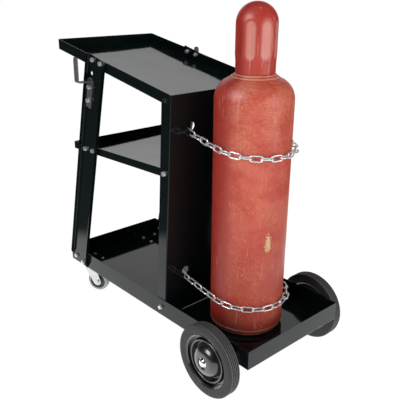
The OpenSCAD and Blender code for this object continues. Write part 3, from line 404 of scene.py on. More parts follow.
# %% Valve cap enamel
def paint_over(material, amount, hex_colour):
    """One more colour on a finished material: paint * (1 - amount) + colour * amount."""
    tree = material.node_tree
    shader = tree.nodes["Principled BSDF"]
    under = shader.inputs["Base Color"].links[0].from_socket
    shades = {0: amount, 6: under, 7: linear(hex_colour)}
    feed(tree, shader, {"Base Color": add(tree, "Mix", shades, data_type="RGBA")})
    return material


def cap_enamel_painted_shade_and_highlight():
    """The cylinder's paint with painted shade, and a painted highlight by (depth of the flute) * (1
    - shaded side).
    """
    # the last paint is the painted shade red of the side that gets no light
    paints = ("#c53f31", "#cc4d3f", "#a3291e", "#a3291e")
    material = worn_red_and_painted_shade("valve_cap_enamel_red", paints, 0.15, 0.38)
    tree = material.node_tree
    # painted highlight: a paler red in the flutes, off the side with painted shade
    depth = add(tree, "Attribute", attribute_name="flute").outputs["Fac"]
    sockets = {0: depth, 1: 0.05, 2: 0.8, 4: 0.55}
    flute_highlight = add(tree, "MapRange", sockets, interpolation_type="SMOOTHSTEP")
    painted_shade = painted_shade_side(tree, add(tree, "TexCoord").outputs["Object"])
    off_painted_shade = add(tree, "Math", {0: 1.0, 1: painted_shade}, operation="SUBTRACT")
    flute_highlight = add(tree, "Math", {0: flute_highlight, 1: off_painted_shade}, operation="MULTIPLY")
    return paint_over(material, flute_highlight, "#e6a092")


# %% [markdown]
# ## Rear tyre rubber
# The ribs of the tread are painted a lighter grey as a painted highlight, where
# their edges would catch the light, while the grooves between them stay black.
# The four grooves lie evenly on both sides of the wheel's middle plane, so taking
# the distance from that plane and folding it twice lays all four on top of each
# other. What is far from that line and at the radius of the tread is a rib.

# %% Rear tyre rubber
def tyre_black_and_painted_highlight():
    """Black rubber, with a painted highlight in grey by (distance from the nearest groove) *
    (radius near the tread's).
    """
    material = soft_moulding("black_tyre_rubber", "#202123", "#2b2b2c", 22, 0.6)
    tree = material.node_tree
    at = add(tree, "TexCoord").outputs["Object"]
    wheel = (WHEEL_X / 1000, 0.0, WHEEL_Z / 1000)
    off = add(tree, "VectorMath", {0: at, 1: wheel}, operation="SUBTRACT")
    off = add(tree, "VectorMath", {0: off, 1: (1.0, 0.0, 1.0)}, operation="MULTIPLY")
    out = add(tree, "VectorMath", {0: off}, operation="LENGTH")
    along = add(tree, "SeparateXYZ", {0: at}).outputs["Y"]
    along = add(tree, "Math", {0: along}, operation="ABSOLUTE")
    outer, inner = GROOVES[:2] / 1000
    for middle in (WHEEL_Y / 1000, (outer + inner) / 2, (outer - inner) / 2):
        along = add(tree, "Math", {0: along, 1: float(middle)}, operation="SUBTRACT")
        along = add(tree, "Math", {0: along}, operation="ABSOLUTE")
    # painted highlight: the ribs are painted a lighter grey
    rib_highlight = add(tree, "MapRange", {0: along, 1: 0.0010, 2: 0.0017, 4: 0.8})
    tread = {0: out, 1: (TREAD - 1.2) / 1000, 2: (TREAD - 0.4) / 1000}
    rib_highlight = add(tree, "Math", {0: rib_highlight, 1: add(tree, "MapRange", tread)}, operation="MULTIPLY")
    return paint_over(material, rib_highlight, "#5e5e60")


# %% Make every finish once
FINISH = {
    "black_powder_coat": powder_coat_black(),
    "zinc_plate": bare_metal(
        "zinc_plated_steel", "#dcdfe2", "#c3c3bf", 0.26, 0.4, 7, 0.00001, 0.65
    ),
    "black_oxide": soft_moulding(
        "black_oxide_screws", "#101112", "#1c1d1e", 3, 0.5, 0.5, 0.00002
    ),
    "hook_zinc": bare_metal("dull_zinc_strap", "#9fa2a4", "#76797b", 0.42, 0.58, 12, 0.00003, 0.9),
    "chrome_cap": bare_metal("chromed_axle_caps", "#e8eaec", "#dddfe1", 0.06, 0.12, 9, 0.000001),
    "wheel_paint": enamel_black(),
    "tyre_rubber": tyre_black_and_painted_highlight(),
    "caster_rubber": soft_moulding("grey_caster_rubber", "#b9bbbc", "#a3a4a4", 14, 0.5),
    "caster_core": soft_moulding("polypropylene_core", "#2e2f31", "#3b3b3c", 10, 0.42),
    "chain_zinc": bare_metal(
        "zinc_plated_chain", "#f0f1f2", "#dfe0e1", 0.2, 0.32, 5, 0.000008, 0.6
    ),
    "axle_steel": bare_metal("turned_axle_steel", "#b4b6b8", "#8f9091", 0.28, 0.42, 4, 0.00001),
    # The last of the four paints is painted shade, and the four heights after it carry lines of
    # painted highlight.
    "cylinder_red": worn_red_and_painted_shade(
        "cylinder_enamel_red", ("#c0483a", "#cf6652", "#962a20", "#9e2318"), 0.6, 0.38,
        scuffed=(0.50, 0.62), deeper=(0.46, 0.26),
        highlight_lines=(0.1035, 0.1125, 0.6952, 0.7004), chip=(0.2954, -0.0325, 0.338),
    ),
    "cap_red": cap_enamel_painted_shade_and_highlight(),
    "valve_brass": bare_metal("forged_valve_brass", "#cfa75c", "#b08a45", 0.3, 0.45, 6, 0.00002),
    "handwheel_alloy": bare_metal(
        "cast_handwheel_alloy", "#b3b5b7", "#989a9c", 0.45, 0.6, 4, 0.00008
    ),
}
print(len(FINISH), "finishes")

# %% [markdown]
# ## Surfaces on a grid
# Every new shape here is a grid of points worked out at once with numpy. The
# faces of a grid are always the same pattern of four indices, so one function
# makes them. A turned part is a profile of radius and height that is swept
# round an axis, which is the same grid with its last column joined to its first.

# %% Surfaces on a grid
def grid_faces(rows, cols, ring=False, loop=False):
    """Quads between neighbours; ring joins the last column to the first, loop the last row."""
    down, across = np.arange(rows - (not loop)), np.arange(cols - (not ring))
    i, j = np.meshgrid(down, across, indexing="ij")
    k, m = (i + 1) % rows, (j + 1) % cols
    corners = [i * cols + j, i * cols + m, k * cols + m, k * cols + j]
    return np.stack(corners, -1).reshape(-1, 4)


def turned(profile, centre, axis, steps=96, loop=False):
    """Point(row, angle) = centre + height * axis + radius * (cos angle * e1 + sin angle * e2)."""
    profile = np.asarray(profile, float)
    axis = np.asarray(axis, float) / np.linalg.norm(axis)
    e1 = np.cross(axis, [0.0, 0.0, 1.0] if abs(axis[2]) < 0.9 else [0.0, 1.0, 0.0])
    e1 /= np.linalg.norm(e1)
    e2 = np.cross(axis, e1)
    t = np.linspace(0, 2 * np.pi, steps, endpoint=False)
    circle = np.cos(t)[:, None] * e1 + np.sin(t)[:, None] * e2
    radius, height = profile[:, 0, None, None], profile[:, 1, None, None]
    points = np.asarray(centre, float) + height * axis + radius * circle
    return points.reshape(-1, 3), grid_faces(len(profile), steps, True, loop)


def bow(centre, radius, start, end, steps=8):
    """Points of an arc in the profile's plane, from one angle in degrees to another."""
    a = np.radians(np.linspace(start, end, steps + 1))
    return np.column_stack([centre[0] + radius * np.cos(a), centre[1] + radius * np.sin(a)])


# %% [markdown]
# ## From arrays to pieces
# A piece is one or more such surfaces in millimetres. Points that meet at a
# seam or a pole are merged, the normals are then made to point outwards, and
# edges sharper than an angle stay crisp while the rest is shaded smooth.
# `place_piece` gives it its finish and says which body of the cart it moves
# with and which CAD nodes it stands for.

# %% From arrays to pieces
BODY_OF = {node: obj["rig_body"] for node, obj in frame["nodes"].items()}
SLOT_OF = {part["node"]: part["material_slot"] for part in frame["record"]["subparts"]}


def place_piece(obj, nodes):
    """Finish, body and replaced nodes, all taken from the first node that it stands for."""
    slot = SLOT_OF[nodes[0]]
    obj.data.materials.clear()
    obj.data.materials.append(FINISH[slot])
    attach(obj, BODY_OF[nodes[0]])
    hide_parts(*nodes)
    return obj


def shaded(mesh, degrees):
    """Smooth shading, except along edges that turn by more than the angle."""
    mesh.polygons.foreach_set("use_smooth", np.ones(len(mesh.polygons), bool))
    mesh.set_sharp_from_angle(angle=np.radians(degrees))
    mesh.update()


def piece(name, surfaces, nodes, crisp):
    """Joins surfaces of (points in mm, faces) into one object that stands for the nodes."""
    starts = np.cumsum([0] + [len(points) for points, _ in surfaces])
    points = np.concatenate([p for p, _ in surfaces]) / 1000.0
    faces = [(f + s).tolist() for (_, f), s in zip(surfaces, starts)]
    mesh = bpy.data.meshes.new(name)
    mesh.from_pydata(points.tolist(), [], sum(faces, []))
    work = bmesh.new()
    work.from_mesh(mesh)
    bmesh.ops.remove_doubles(work, verts=work.verts, dist=2e-6)
    bmesh.ops.dissolve_degenerate(work, edges=work.edges, dist=1e-7)
    bmesh.ops.recalc_face_normals(work, faces=work.faces)
    work.to_mesh(mesh)
    work.free()
    shaded(mesh, crisp)
    obj = bpy.data.objects.new(name, mesh)
    bpy.context.scene.collection.objects.link(obj)
    print(name, len(mesh.vertices), "points for", ", ".join(nodes))
    return place_piece(obj, nodes)


# %% [markdown]
# ## Folded sheet, bolts and brackets
# The folded parts are already right in the CAD model, but an exact model has
# edges of no width at all, and on real sheet steel each cut edge is rounded by
# the paint. So these parts are copied and their loose triangles merged back into
# faces; on the sheet and the straps a small bevel rounds each sharp edge to catch the light.

# %% Folded sheet, bolts and brackets
def dressed(node, width=0.0):
    """A merged copy of one CAD node, with its sharp edges rounded by width millimetres."""
    mesh = frame["nodes"][node].data.copy()
    mesh.name = node + "_dressed"
    work = bmesh.new()
    work.from_mesh(mesh)
    bmesh.ops.remove_doubles(work, verts=work.verts, dist=1e-6)
    nearly_flat = np.radians(0.5)
    bmesh.ops.dissolve_limit(work, angle_limit=nearly_flat, verts=work.verts, edges=work.edges)
    work.to_mesh(mesh)
    work.free()
    shaded(mesh, 32)
    obj = bpy.data.objects.new(node + "_dressed", mesh)
    bpy.context.scene.collection.objects.link(obj)
    if width:
        bevel = obj.modifiers.new("rounded_edges", "BEVEL")
        bevel.width = width / 1000
        bevel.segments = 2
        bevel.limit_method = "ANGLE"
        bevel.angle_limit = np.radians(40)
        bevel.use_clamp_overlap = True
        bevel.harden_normals = False
    return place_piece(obj, [node])


def both_sides(*names):
    """The near and the far node of each name."""
    return [name + side for name in names for side in ("_near", "_far")]


SHEET = [
    "base_tray", "middle_shelf", "top_tray", "back_panel", *both_sides("post"), "axle_brackets",
]
STRAP = both_sides("cable_hook", "caster_plate", "caster_fork")
SMALL = [
    "post_bolts", "post_nuts", "hook_bolts", "hook_nuts", "panel_bolts", "panel_top_screws",
    "panel_nuts", "axle", "axle_washers", "axle_caps", "caster_bolts", "caster_nuts",
    "caster_kingpins", *both_sides("caster_race", "caster_axle", "caster_sleeve", "wheel_hub"),
    "neck_ring", "valve_body", "packing_nut", "relief_plug", "valve_spindle", "handwheel",
    "handwheel_nut", *both_sides("wheel_inner_disc"),
]
for node in SHEET:
    dressed(node, 0.25)
for node in STRAP:
    dressed(node, 0.35)
for node in SMALL:
    dressed(node)
print(len(SHEET) + len(STRAP) + len(SMALL), "dressed copies")

# %% [markdown]
# ## Rear wheels
# Each wheel is two pressed discs that clamp a rubber tyre. From the side the
# outer disc shows a hub eye with a rolled lip, a round dome, a valley, a raised
# ring and a deep groove in which the rim's rolled edge stands. All of that is
# one profile turned about the axle. The tyre is a second profile: two beads,
# flat walls with a thin step and a fine mould line, and a tread with grooves.

# %% Rear wheels
BEAD = RIM - 3  # radius of the tyre's seat
DISC_T = 1.8  # thickness of a pressed disc


def disc_profile():
    """Radius and height of the outer disc's skin, out over the face and back along its reverse."""
    face = np.concatenate([
        [[11.6, HALF + 3.0]],
        bow((16.0, HALF + 4.7), 2.0, 200, 90, 8),
        bow((17.6, HALF - 16.5), 23.0, 90, 18, 30),
        [[42.1, -1.4]],
        bow((43.05, -1.2), 1.1, 215, 330, 6),
        bow((50.2, HALF - 6.8), 2.4, 170, 10, 12),
        [[54.2, 3.2], [55.2, 1.9], [BEAD - 0.4, 1.9]],
    ])
    return np.concatenate([face, face[::-1] - [0.0, DISC_T]])


def rim_profile():
    """The tyre's seat and the flange that is rolled over its bead."""
    inside = BEAD - DISC_T
    return np.concatenate([
        [[inside, 0.04], [BEAD, 0.04], [BEAD, HALF - 4.5], [RIM - 0.2, HALF - 1.9]],
        bow((RIM - 0.75, HALF - 1.15), 0.75, -10, 190, 8),
        [[inside, HALF - 3.7]],
    ])


def tyre_profile():
    """Beads, walls with a mould line and a step, oval shoulders and a grooved tread."""
    shoulder = [TREAD - 5.0, HALF - 4.0] + bow((0.0, 0.0), 1.0, 90, 8, 10) * [5.0, 3.4]
    wall = np.concatenate([
        [[RIM - 2.98, HALF - 4.45], [RIM + 0.05, HALF - 1.8], [RIM + 0.1, HALF - 0.8]],
        bow((RIM + 2.1, HALF - 2.0), 2.0, 160, 95, 5),
        [[RIM + 8.0, HALF], [RIM + 8.2, HALF - 0.25], [RIM + 8.6, HALF - 0.25], [RIM + 8.8, HALF]],
        [[TREAD - 8.5, HALF], [TREAD - 8.1, HALF - 0.6]],
        shoulder,
    ])
    groove = np.array([[-0.3, 1.35], [-1.7, 0.8], [-1.7, -0.8], [-0.3, -1.35]])
    spots = np.column_stack([np.full(len(GROOVES), TREAD), GROOVES])
    tread = (groove[None] + spots[:, None]).reshape(-1, 2)
    return np.concatenate([wall, tread, wall[::-1] * [1, -1]])


for side, word in ((-1, "near"), (1, "far")):
    centre, axis = (WHEEL_X, side * WHEEL_Y, WHEEL_Z), (0, side, 0)
    pressed = [turned(form, centre, axis, 96, True) for form in (disc_profile(), rim_profile())]
    piece(f"wheel_disc_{word}", pressed, [f"wheel_outer_disc_{word}"], crisp=38)
    rubber = turned(tyre_profile(), centre, axis, 144, True)
    piece(f"tyre_{word}", [rubber], [f"rear_tyre_{word}"], crisp=40)

# %% [markdown]
# ## Caster wheels
# A caster wheel is a dark moulded core with a recessed web on each side and a
# tread of pale rubber bonded round it. Both are turned profiles about the
# caster's own axle, which has turned with its fork by 30 degrees.

# %% Caster wheels
def caster_place(side):
    """Centre of the caster wheel and the direction of its axle."""
    cosine, sine = np.cos(np.radians(CASTER_TURN)), np.sin(np.radians(CASTER_TURN))
    spot = CASTER_X + CASTER_TRAIL * cosine, side * CASTER_Y + CASTER_TRAIL * sine, CASTER_Z
    return spot, (-sine, cosine, 0.0)


def core_profile():
    """A hub boss, a thin web with a rounded foot, and a rim under the tyre."""
    half = np.concatenate([
        [[6.56, 12.8], [10.6, 12.8], [11.0, 12.4], [12.2, 9.2]],
        bow((13.4, 9.6), 1.1, 200, 270, 4),
        bow((19.0, 9.6), 1.1, 270, 340, 4),
        bow((21.4, 10.2), 0.8, 150, 40, 4),
        [[23.78, 10.9]],
    ])
    return np.concatenate([half, half[::-1] * [1, -1]])


def caster_tyre_profile():
    """A crowned tread between two soft oval shoulders, with a fine mould line in the middle."""
    shoulder = [26.0, 6.0] + bow((0.0, 0.0), 1.0, 90, 0, 10) * [5.6, 6.0]
    side = np.concatenate([[[23.82, 11.4]], shoulder])
    crown = [[31.9, 3.0], [32.0, 0.25], [31.85, 0.0], [32.0, -0.25], [31.9, -3.0]]
    return np.concatenate([side, crown, side[::-1] * [1, -1]])


for side, word in ((-1, "near"), (1, "far")):
    centre, axis = caster_place(side)
    core = turned(core_profile(), centre, axis, 72, True)
    piece(f"core_{word}", [core], [f"caster_core_{word}"], crisp=40)
    rubber = turned(caster_tyre_profile(), centre, axis, 96, True)
    piece(f"caster_tread_{word}", [rubber], [f"caster_tyre_{word}"], crisp=40)

# %% [markdown]
# ## Gas cylinder
# The cylinder is spun from one steel tube: a slightly narrower foot with a
# ridge above it, a straight wall, a shoulder of nearly a quarter circle, a low
# collar between two ridges and a neck bored for the valve. It is one profile,
# turned about the cylinder's axis, with the inner wall drawn as well so that it
# is truly hollow.

# %% Gas cylinder
SHELL_T = 5.5  # wall of the cylinder
NECK_R, NECK_H, BORE_R = 24.0, 26.0, 13.1  # neck outside, how far it stands up, its bore


def cylinder_profile():
    """Outside from the foot's middle up to the neck, then the bore and the inside back down."""
    curve = CYL_R - SHOULDER, WALL_TOP
    outside = np.concatenate([
        [[0.0, 12.0], [44.0, 9.0], [72.0, 0.8], [75.0, 0.0]],
        bow((79.0, 6.5), 6.5, 270, 360, 8),
        [[85.5, 9.6], [85.9, 11.0]],
        bow((86.4, 13.2), 1.9, 270, 360, 6),
        bow((86.4, 15.2), 1.9, 0, 50, 4),
        [[87.5, 18.2]],
        np.column_stack([np.full(24, CYL_R), np.linspace(21.0, WALL_TOP - 3, 24)]),
        bow(curve, SHOULDER, 0, 72.4, 24),
        bow((52.6, NECK_Z - 0.9), 0.9, -10, 90, 5),
        [[50.2, NECK_Z + 0.3], [48.0, NECK_Z + 1.6], [46.6, NECK_Z + 3.4]],
        bow((45.7, NECK_Z + 4.2), 0.8, 0, 180, 8),
        [[44.6, NECK_Z + 0.2], [NECK_R, NECK_Z], [NECK_R, NECK_Z + NECK_H]],
        [[BORE_R, NECK_Z + NECK_H], [BORE_R, NECK_Z - 6.0]],
    ])
    inside = np.concatenate([
        bow(curve, SHOULDER - SHELL_T, 90, 0, 12),
        [[CYL_R - SHELL_T, 30.0], [78.0, 20.0], [44.0, 14.5], [0.0, 17.5]],
    ])
    return np.concatenate([outside, inside])


skin = turned(cylinder_profile(), (CYL_X, CYL_Y, CYL_Z), (0, 0, 1), 128)
piece("cylinder_skin", [skin], ["cylinder_shell"], crisp=30)

# %% [markdown]
# ## Valve cap
# The cap is a thick steel dome that screws over the valve. Eight long flutes
# give a spanner something to grip, and two slots vent it. Its radius is worked
# out for each angle and height: the smaller of the dome's radius and of the
# distance to a 60 mm ball-ended rod that is sunk 3.4 mm into the wall for each
# flute. The cells inside each vent are then left out, the points round the
# hole moved to its outline, and a Solidify modifier gives the wall its 4.7 mm.

# %% Valve cap
CAP_FOOT = NECK_Z + 5.6
CAP_R, CAP_H, DOME_H = 44.7, 146.6, 44.0
FLUTE_STEP, FLUTE_R, FLUTE_SUNK = 360.0 / 8, 60.0, 3.4
FLUTE_LOW, FLUTE_HIGH = 45.0, 95.0  # ball centres of each flute
EDGE_SOFT = 0.35  # rounding of the flutes' edges
VENT_TURN, VENT_Z, VENT_HALF, VENT_R = 26.0, 84.0, 9.0, 4.5
CAP_STEPS, CAP_ROWS, DOME_ROWS = 224, 92, 26


def plain_wall(z):
    """Radius of the cap without flutes below its dome: a foot that is a little narrower."""
    foot = CAP_R - 1.4
    return np.interp(z, [0.0, 1.2, 24.0, 40.0], [foot - 0.5, foot, foot, CAP_R])


def cap_points(angles):
    """Radius and height at each row and angle; over the dome the rows are steps of an ellipse."""
    straight = np.linspace(0.0, CAP_H - DOME_H, CAP_ROWS)
    t = np.radians(np.linspace(0, 90, DOME_ROWS)[1:])
    r = np.concatenate([plain_wall(straight), CAP_R * np.cos(t)])[:, None]
    z = np.concatenate([straight, CAP_H - DOME_H + DOME_H * np.sin(t)])[:, None]
    beside = (np.degrees(angles)[None] - VENT_TURN + FLUTE_STEP / 2) % FLUTE_STEP - FLUTE_STEP / 2
    beside = np.radians(beside)
    away = np.maximum(np.maximum(FLUTE_LOW - z, z - FLUTE_HIGH), 0.0)
    reach = CAP_R + FLUTE_R - FLUTE_SUNK
    sunk = FLUTE_R**2 - away**2 - (reach * np.sin(beside)) ** 2
    flute = reach * np.cos(beside) - np.sqrt(np.maximum(sunk, 0.0))
    flute = np.where(sunk > 0, flute, 999.0)
    nearer = -EDGE_SOFT * np.logaddexp(-r / EDGE_SOFT, -flute / EDGE_SOFT)
    at_pole = r < 0.01
    return np.where(at_pole, r, np.minimum(r, nearer)), np.broadcast_to(z, flute.shape)


def open_vents(arc, z, faces):
    """Leaves out the faces inside each slot and moves the points beside it to its outline."""
    high = np.clip(z - VENT_Z, -VENT_HALF, VENT_HALF)
    gap = np.hypot(arc, z - VENT_Z - high)
    inside = gap < VENT_R
    keep = ~inside[faces].any(axis=1)
    rim = np.unique(faces[~keep])
    rim = rim[~inside[rim]]
    pull = VENT_R / np.maximum(gap[rim], 1e-6)
    arc[rim] *= pull
    z[rim] = VENT_Z + high[rim] + (z[rim] - VENT_Z - high[rim]) * pull
    return arc, z, faces[keep]


def cap_surface():
    """The fluted wall and dome with both vents open; a vent is half a turn from the other."""
    vent = np.radians(VENT_TURN)
    angles = np.linspace(0, 2 * np.pi, CAP_STEPS, endpoint=False) + vent
    radius, height = cap_points(angles)
    theta = (np.broadcast_to(angles, radius.shape) - vent).ravel()
    from_vent = (theta + np.pi / 2) % np.pi - np.pi / 2
    r = radius.ravel()
    faces = grid_faces(*radius.shape, ring=True)
    arc, z, faces = open_vents(from_vent * r, height.ravel().copy(), faces)
    theta = theta - from_vent + arc / np.maximum(r, 1e-6) + vent
    x, y = CYL_X + r * np.cos(theta), CYL_Y + r * np.sin(theta)
    return np.column_stack([x, y, CYL_Z + CAP_FOOT + z]), faces


def flute_depth(obj):
    """How far each point lies inside the plain cap: 0 on it, 1 where it is 3 mm in."""
    coords = np.empty(3 * len(obj.data.vertices))
    obj.data.vertices.foreach_get("co", coords)
    x, y, z = (coords.reshape(-1, 3) * 1000 - [CYL_X, CYL_Y, CYL_Z + CAP_FOOT]).T
    over = np.clip((z - CAP_H + DOME_H) / DOME_H, 0.0, 1.0)
    plain = plain_wall(z) * np.sqrt(1 - over**2)
    return np.clip((plain - np.hypot(x, y)) / 3.0, 0.0, 1.0)


valve_cap = piece("fluted_valve_cap", [cap_surface()], ["valve_cap"], crisp=50)
flutes = valve_cap.data.attributes.new("flute", "FLOAT", "POINT")
flutes.data.foreach_set("value", flute_depth(valve_cap))
wall = valve_cap.modifiers.new("cap_wall", "SOLIDIFY")
wall.thickness = 0.0047
wall.offset = -1.0
wall.use_even_offset = False

# %% [markdown]
# ## Chains
# A welded link is a round wire bent into a stadium: two straight sides and two
# half circles, with a small swelling where the ends are welded. Its centre line
# is one array of points, and a circle of eight points swept along it makes the
# wire. The chain runs straight from one keyhole, round the cylinder, and back
# to the other keyhole, and sags in the middle. Every second link is turned by
# 90 degrees, so that each one is threaded through its neighbours. All links of
# a chain are placed in one sum: place + x * run + y * bow + tube.

# %% Shape of one link
LEAN = np.tan(np.radians(PANEL_LEAN))
LAY = CYL_R + LINK_W / 2 + 0.35  # radius of the circle that the chain lies on
LINK_PLAY = 0.5  # how much longer a link is than it has to be
AXIS = np.array([CYL_X, CYL_Y])


def link_ring(pitch, around=8):
    """Points of the wire round a link's centre line: along x, across the bows y, off the plane."""
    bend = (LINK_W - WIRE) / 2
    straight = round(50 * (pitch + LINK_PLAY + WIRE - 2 * bend)) / 50  # to 0.02 mm
    a = np.radians(np.linspace(90, -90, 10))
    end = np.column_stack([straight / 2 + bend * np.cos(a), bend * np.sin(a), np.cos(a), np.sin(a)])
    top = np.linspace(-straight / 2, straight / 2, 7)[1:-1]
    top = np.column_stack([top, np.full(5, bend), np.zeros(5), np.ones(5)])
    line = np.concatenate([end, end * -1.0, top])
    weld = 1 + 0.1 * np.exp(-((line[:, 0] / 1.3) ** 2)) * (line[:, 1] > 0)
    psi = np.linspace(0, 2 * np.pi, around, endpoint=False)
    out = WIRE / 2 * weld[:, None] * np.cos(psi)
    x = line[:, 0, None] + out * line[:, 2, None]
    y = line[:, 1, None] + out * line[:, 3, None]
    off = WIRE / 2 * weld[:, None] * np.sin(psi)
    return np.stack([x, y, off], -1).reshape(-1, 3), grid_faces(len(line), around, True, True)


# %% Where the links lie
def keyhole(z, side):
    """Plan position of the chain in the keyhole's slot, just behind the panel."""
    return np.array([PANEL_X + LEAN * (z - FLOOR_Z) + 2.5, side * KEYHOLE_Y])


def run_angles(z):
    """Angles at which the two straight runs touch the circle that the chain lies on."""
    out = []
    for side in (-1, 1):
        v = keyhole(z, side) - AXIS
        a = np.degrees(np.arctan2(v[1], v[0])) - side * np.degrees(np.arccos(LAY / np.hypot(*v)))
        out.append(np.radians(a + (360 if side < 0 else 0)))
    return out[0], out[1] + 2 * np.pi


def line_at(z, sag, s):
    """Place, heading and height at each distance s, and the whole length.

    Straight, round the cylinder, straight; height z - sag * (1 - u^2), u from 1 to 0 to 1.
    """
    a0, a1 = run_angles(z)
    p0, p1 = keyhole(z, -1), keyhole(z, 1)
    l0, l1 = (np.sqrt(np.sum((p - AXIS) ** 2) - LAY**2) for p in (p0, p1))
    total = l0 + l1 + LAY * (a1 - a0)
    t0, t1 = (AXIS + LAY * np.array([np.cos(a), np.sin(a)]) for a in (a0, a1))
    a = np.clip(a0 + (s - l0) / LAY, a0, a1)
    plan = AXIS + LAY * np.column_stack([np.cos(a), np.sin(a)])
    before, after = (s < l0)[:, None], (s > total - l1)[:, None]
    plan = np.where(before, p0 + (t0 - p0) * (s / l0)[:, None], plan)
    plan = np.where(after, t1 + (p1 - t1) * ((s - total + l1) / l1)[:, None], plan)
    u = np.abs(2 * s / total - 1)
    return plan, a + np.pi / 2, z - sag * (1 - u**2), total


def link_frames(key_z, sag, tail=3):
    """Places, run directions and bow directions of every link of a chain, tails included."""
    z = key_z - KEY_DROP + LINK_W / 2 + 0.2
    total = line_at(z, sag, np.zeros(1))[3]
    n = 2 * int(round(total / PITCH / 2))
    pitch = total / n
    half_link = (pitch + LINK_PLAY + WIRE) / 2
    s = np.concatenate([np.arange(n + 1) * pitch, [0.0, total]])
    plan, heading, level, _ = line_at(z, sag, s)
    climb = np.arctan2(line_at(z, sag, s + 1)[2] - line_at(z, sag, s - 1)[2], 2)
    ahead, aside, none = np.cos(heading), np.sin(heading), 0 * heading
    run = np.column_stack([ahead * np.cos(climb), aside * np.cos(climb), np.sin(climb)])
    flat = np.column_stack([aside, -ahead, none])
    upright = np.column_stack([-np.sin(climb) * ahead, -np.sin(climb) * aside, np.cos(climb)])
    odd = (np.arange(n + 3) % 2 == 1)[:, None]
    odd[-2:] = True
    bows = np.where(odd, flat, upright)
    spots = np.column_stack([plan, level])
    way = np.array([-1.0, 1.0])[:, None]
    ends = spots[-2:] + way * (pitch + half_link) * run[-2:]
    spots[-2:] += way * pitch * run[-2:]
    drop = WIRE + 0.2 - half_link - np.arange(tail) * pitch
    hang = (ends[:, None] + drop[None, :, None] * [0.0, 0.0, 1.0]).reshape(-1, 3)
    twist = (heading[-2:, None] + np.arange(tail) % 2 * np.pi / 2).ravel()
    down = np.tile([0.0, 0.0, -1.0], (2 * tail, 1))
    across = np.column_stack([np.cos(twist), np.sin(twist), 0 * twist])
    joined = [np.concatenate(pair) for pair in ((spots, hang), (run, down), (bows, across))]
    return *joined, pitch


# %% Both chains
def chain_surface(key_z, sag):
    """Every link's ring, moved and turned at once by its own frame."""
    spots, run, bows, pitch = link_frames(key_z, sag)
    ring, quads = link_ring(pitch)
    off = np.cross(run, bows)
    points = spots[:, None] + np.einsum("pk,lkc->lpc", ring, np.stack([run, bows, off], 1))
    faces = quads[None] + (np.arange(len(spots)) * len(ring))[:, None, None]
    print(len(spots), "links at a pitch of", round(pitch, 2), "mm")
    return points.reshape(-1, 3), faces.reshape(-1, 4)


upper, lower = chain_surface(580.0, 27.0), chain_surface(211.0, 18.0)
piece("upper_chain_links", [upper], ["upper_chain"], crisp=60)
piece("lower_chain_links", [lower], ["lower_chain", "lower_chain_leads"], crisp=60)

# %% [markdown]
# ## Floor and light
# Black gloss shows hardly any colour of its own: what the eye sees is what it
# reflects. In a studio that is a white floor that ends a short way from the
# cart, and then the dark room. So for reflections the floor is bright in a strip
# that runs away from the camera and dark beside it, for matt surfaces it is an
# even glow, and to the eye it is plain white. Soft boxes stand left and right of
# the camera and hang overhead, a pale wall behind the cart is what the trays
# reflect, and a key high on the left makes the spots of light on round gloss.

# %% Floor
STRIP_WAY = (0.6721, 0.7405, 0.0)  # level, across the camera's view
STRIP_MIDDLE, STRIP_INNER, STRIP_OUTER = 0.022, 0.70, 0.86  # metres along it
STRIP_GLOW, BESIDE_GLOW = 1.4, 0.03
FLOOR_MATT, FLOOR_SEEN = 0.55, 0.97
ROOM_SHINY, ROOM_MATT, ROOM_SEEN = 0.015, 0.2, 1.05
WHITE = (1, 1, 1, 1)


def by_ray(tree, shiny, matt, seen):
    """Three strengths: for reflections, for diffuse rays and for the camera."""
    ray = add(tree, "LightPath")
    strength = add(tree, "MapRange", {0: ray.outputs["Is Diffuse Ray"], 3: shiny, 4: matt})
    return add(tree, "MapRange", {0: ray.outputs["Is Camera Ray"], 3: strength, 4: seen})


floor_mesh = bpy.data.meshes.new("floor")
floor_corners = [(-40, -40, 0), (40, -40, 0), (40, 40, 0), (-40, 40, 0)]
floor_mesh.from_pydata(floor_corners, [], [(0, 1, 2, 3)])
floor = bpy.data.objects.new("floor", floor_mesh)
bpy.context.scene.collection.objects.link(floor)
paper = bpy.data.materials.new("studio_paper")
paper.use_nodes = True
tree = paper.node_tree
tree.nodes.remove(tree.nodes["Principled BSDF"])
at = add(tree, "TexCoord").outputs["Object"]
off = add(tree, "VectorMath", {0: at, 1: STRIP_WAY}, operation="DOT_PRODUCT")
off = add(tree, "Math", {0: off, 1: STRIP_MIDDLE}, operation="SUBTRACT")
off = add(tree, "Math", {0: off}, operation="ABSOLUTE")
edges = {0: off, 1: STRIP_INNER, 2: STRIP_OUTER, 3: STRIP_GLOW, 4: BESIDE_GLOW}
strip = add(tree, "MapRange", edges, interpolation_type="SMOOTHSTEP")
glow = by_ray(tree, strip, FLOOR_MATT, FLOOR_SEEN)
light = add(tree, "Emission", {"Color": WHITE, "Strength": glow})
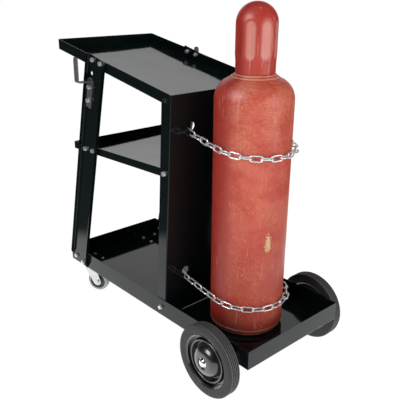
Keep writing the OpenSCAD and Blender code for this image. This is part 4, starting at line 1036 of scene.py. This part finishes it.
matt = add(tree, "BsdfDiffuse", {"Color": (0.16, 0.16, 0.16, 1)})
both = add(tree, "AddShader", {0: light, 1: matt})
feed(tree, tree.nodes["Material Output"], {"Surface": both})
floor_mesh.materials.append(paper)

# %% Room
world = bpy.data.worlds.new("studio")
bpy.context.scene.world = world
world.use_nodes = True
tree = world.node_tree
room = by_ray(tree, ROOM_SHINY, ROOM_MATT, ROOM_SEEN)
feed(tree, tree.nodes["Background"], {"Strength": room, "Color": WHITE})
bpy.context.scene.view_settings.view_transform = "Standard"


# %% Soft boxes
def soft_box(name, spot, aim, size, radiance, shiny=True, matt=True):
    """A rectangular lamp at spot that faces aim; its power is pi times radiance times area."""
    lamp = bpy.data.lights.new(name, "AREA")
    lamp.shape, (lamp.size, lamp.size_y) = "RECTANGLE", size
    lamp.energy = float(np.pi * radiance * size[0] * size[1])
    box = bpy.data.objects.new(name, lamp)
    bpy.context.scene.collection.objects.link(box)
    back = np.subtract(spot, aim) / np.linalg.norm(np.subtract(spot, aim))
    across = np.cross([0.0, 0.0, 1.0], back) if abs(back[2]) < 0.98 else np.array([1.0, 0.0, 0.0])
    across = across / np.linalg.norm(across)
    pose = np.eye(4)
    pose[:3] = np.column_stack([across, np.cross(back, across), back, spot])
    box.matrix_world = Matrix(pose.tolist())
    box.visible_camera = False
    box.visible_glossy = shiny
    box.visible_diffuse = matt


middle = (0.2, 0.0, 0.5)
square = (1.5, 1.5)
soft_box("soft_box_left", (0.50, -2.19, 0.85), middle, square, 3.1, shiny=False)
soft_box("soft_box_right", (2.58, 0.39, 0.85), middle, square, 4.1)
soft_box("white_wall_behind", (-2.15, 2.09, 1.6), (0.1, 0.1, 1.3), (3.6, 2.0), 1.0, matt=False)
soft_box("soft_box_overhead", (0.3, -0.3, 2.6), (0.1, 0.0, 0.3), (1.8, 1.8), 1.0, shiny=False)
soft_box("key_high_left", (-0.12, -2.29, 2.0), (0.24, -0.1, 0.55), square, 9.0, matt=False)
print("lamps:", ", ".join(lamp.name for lamp in bpy.data.lights))
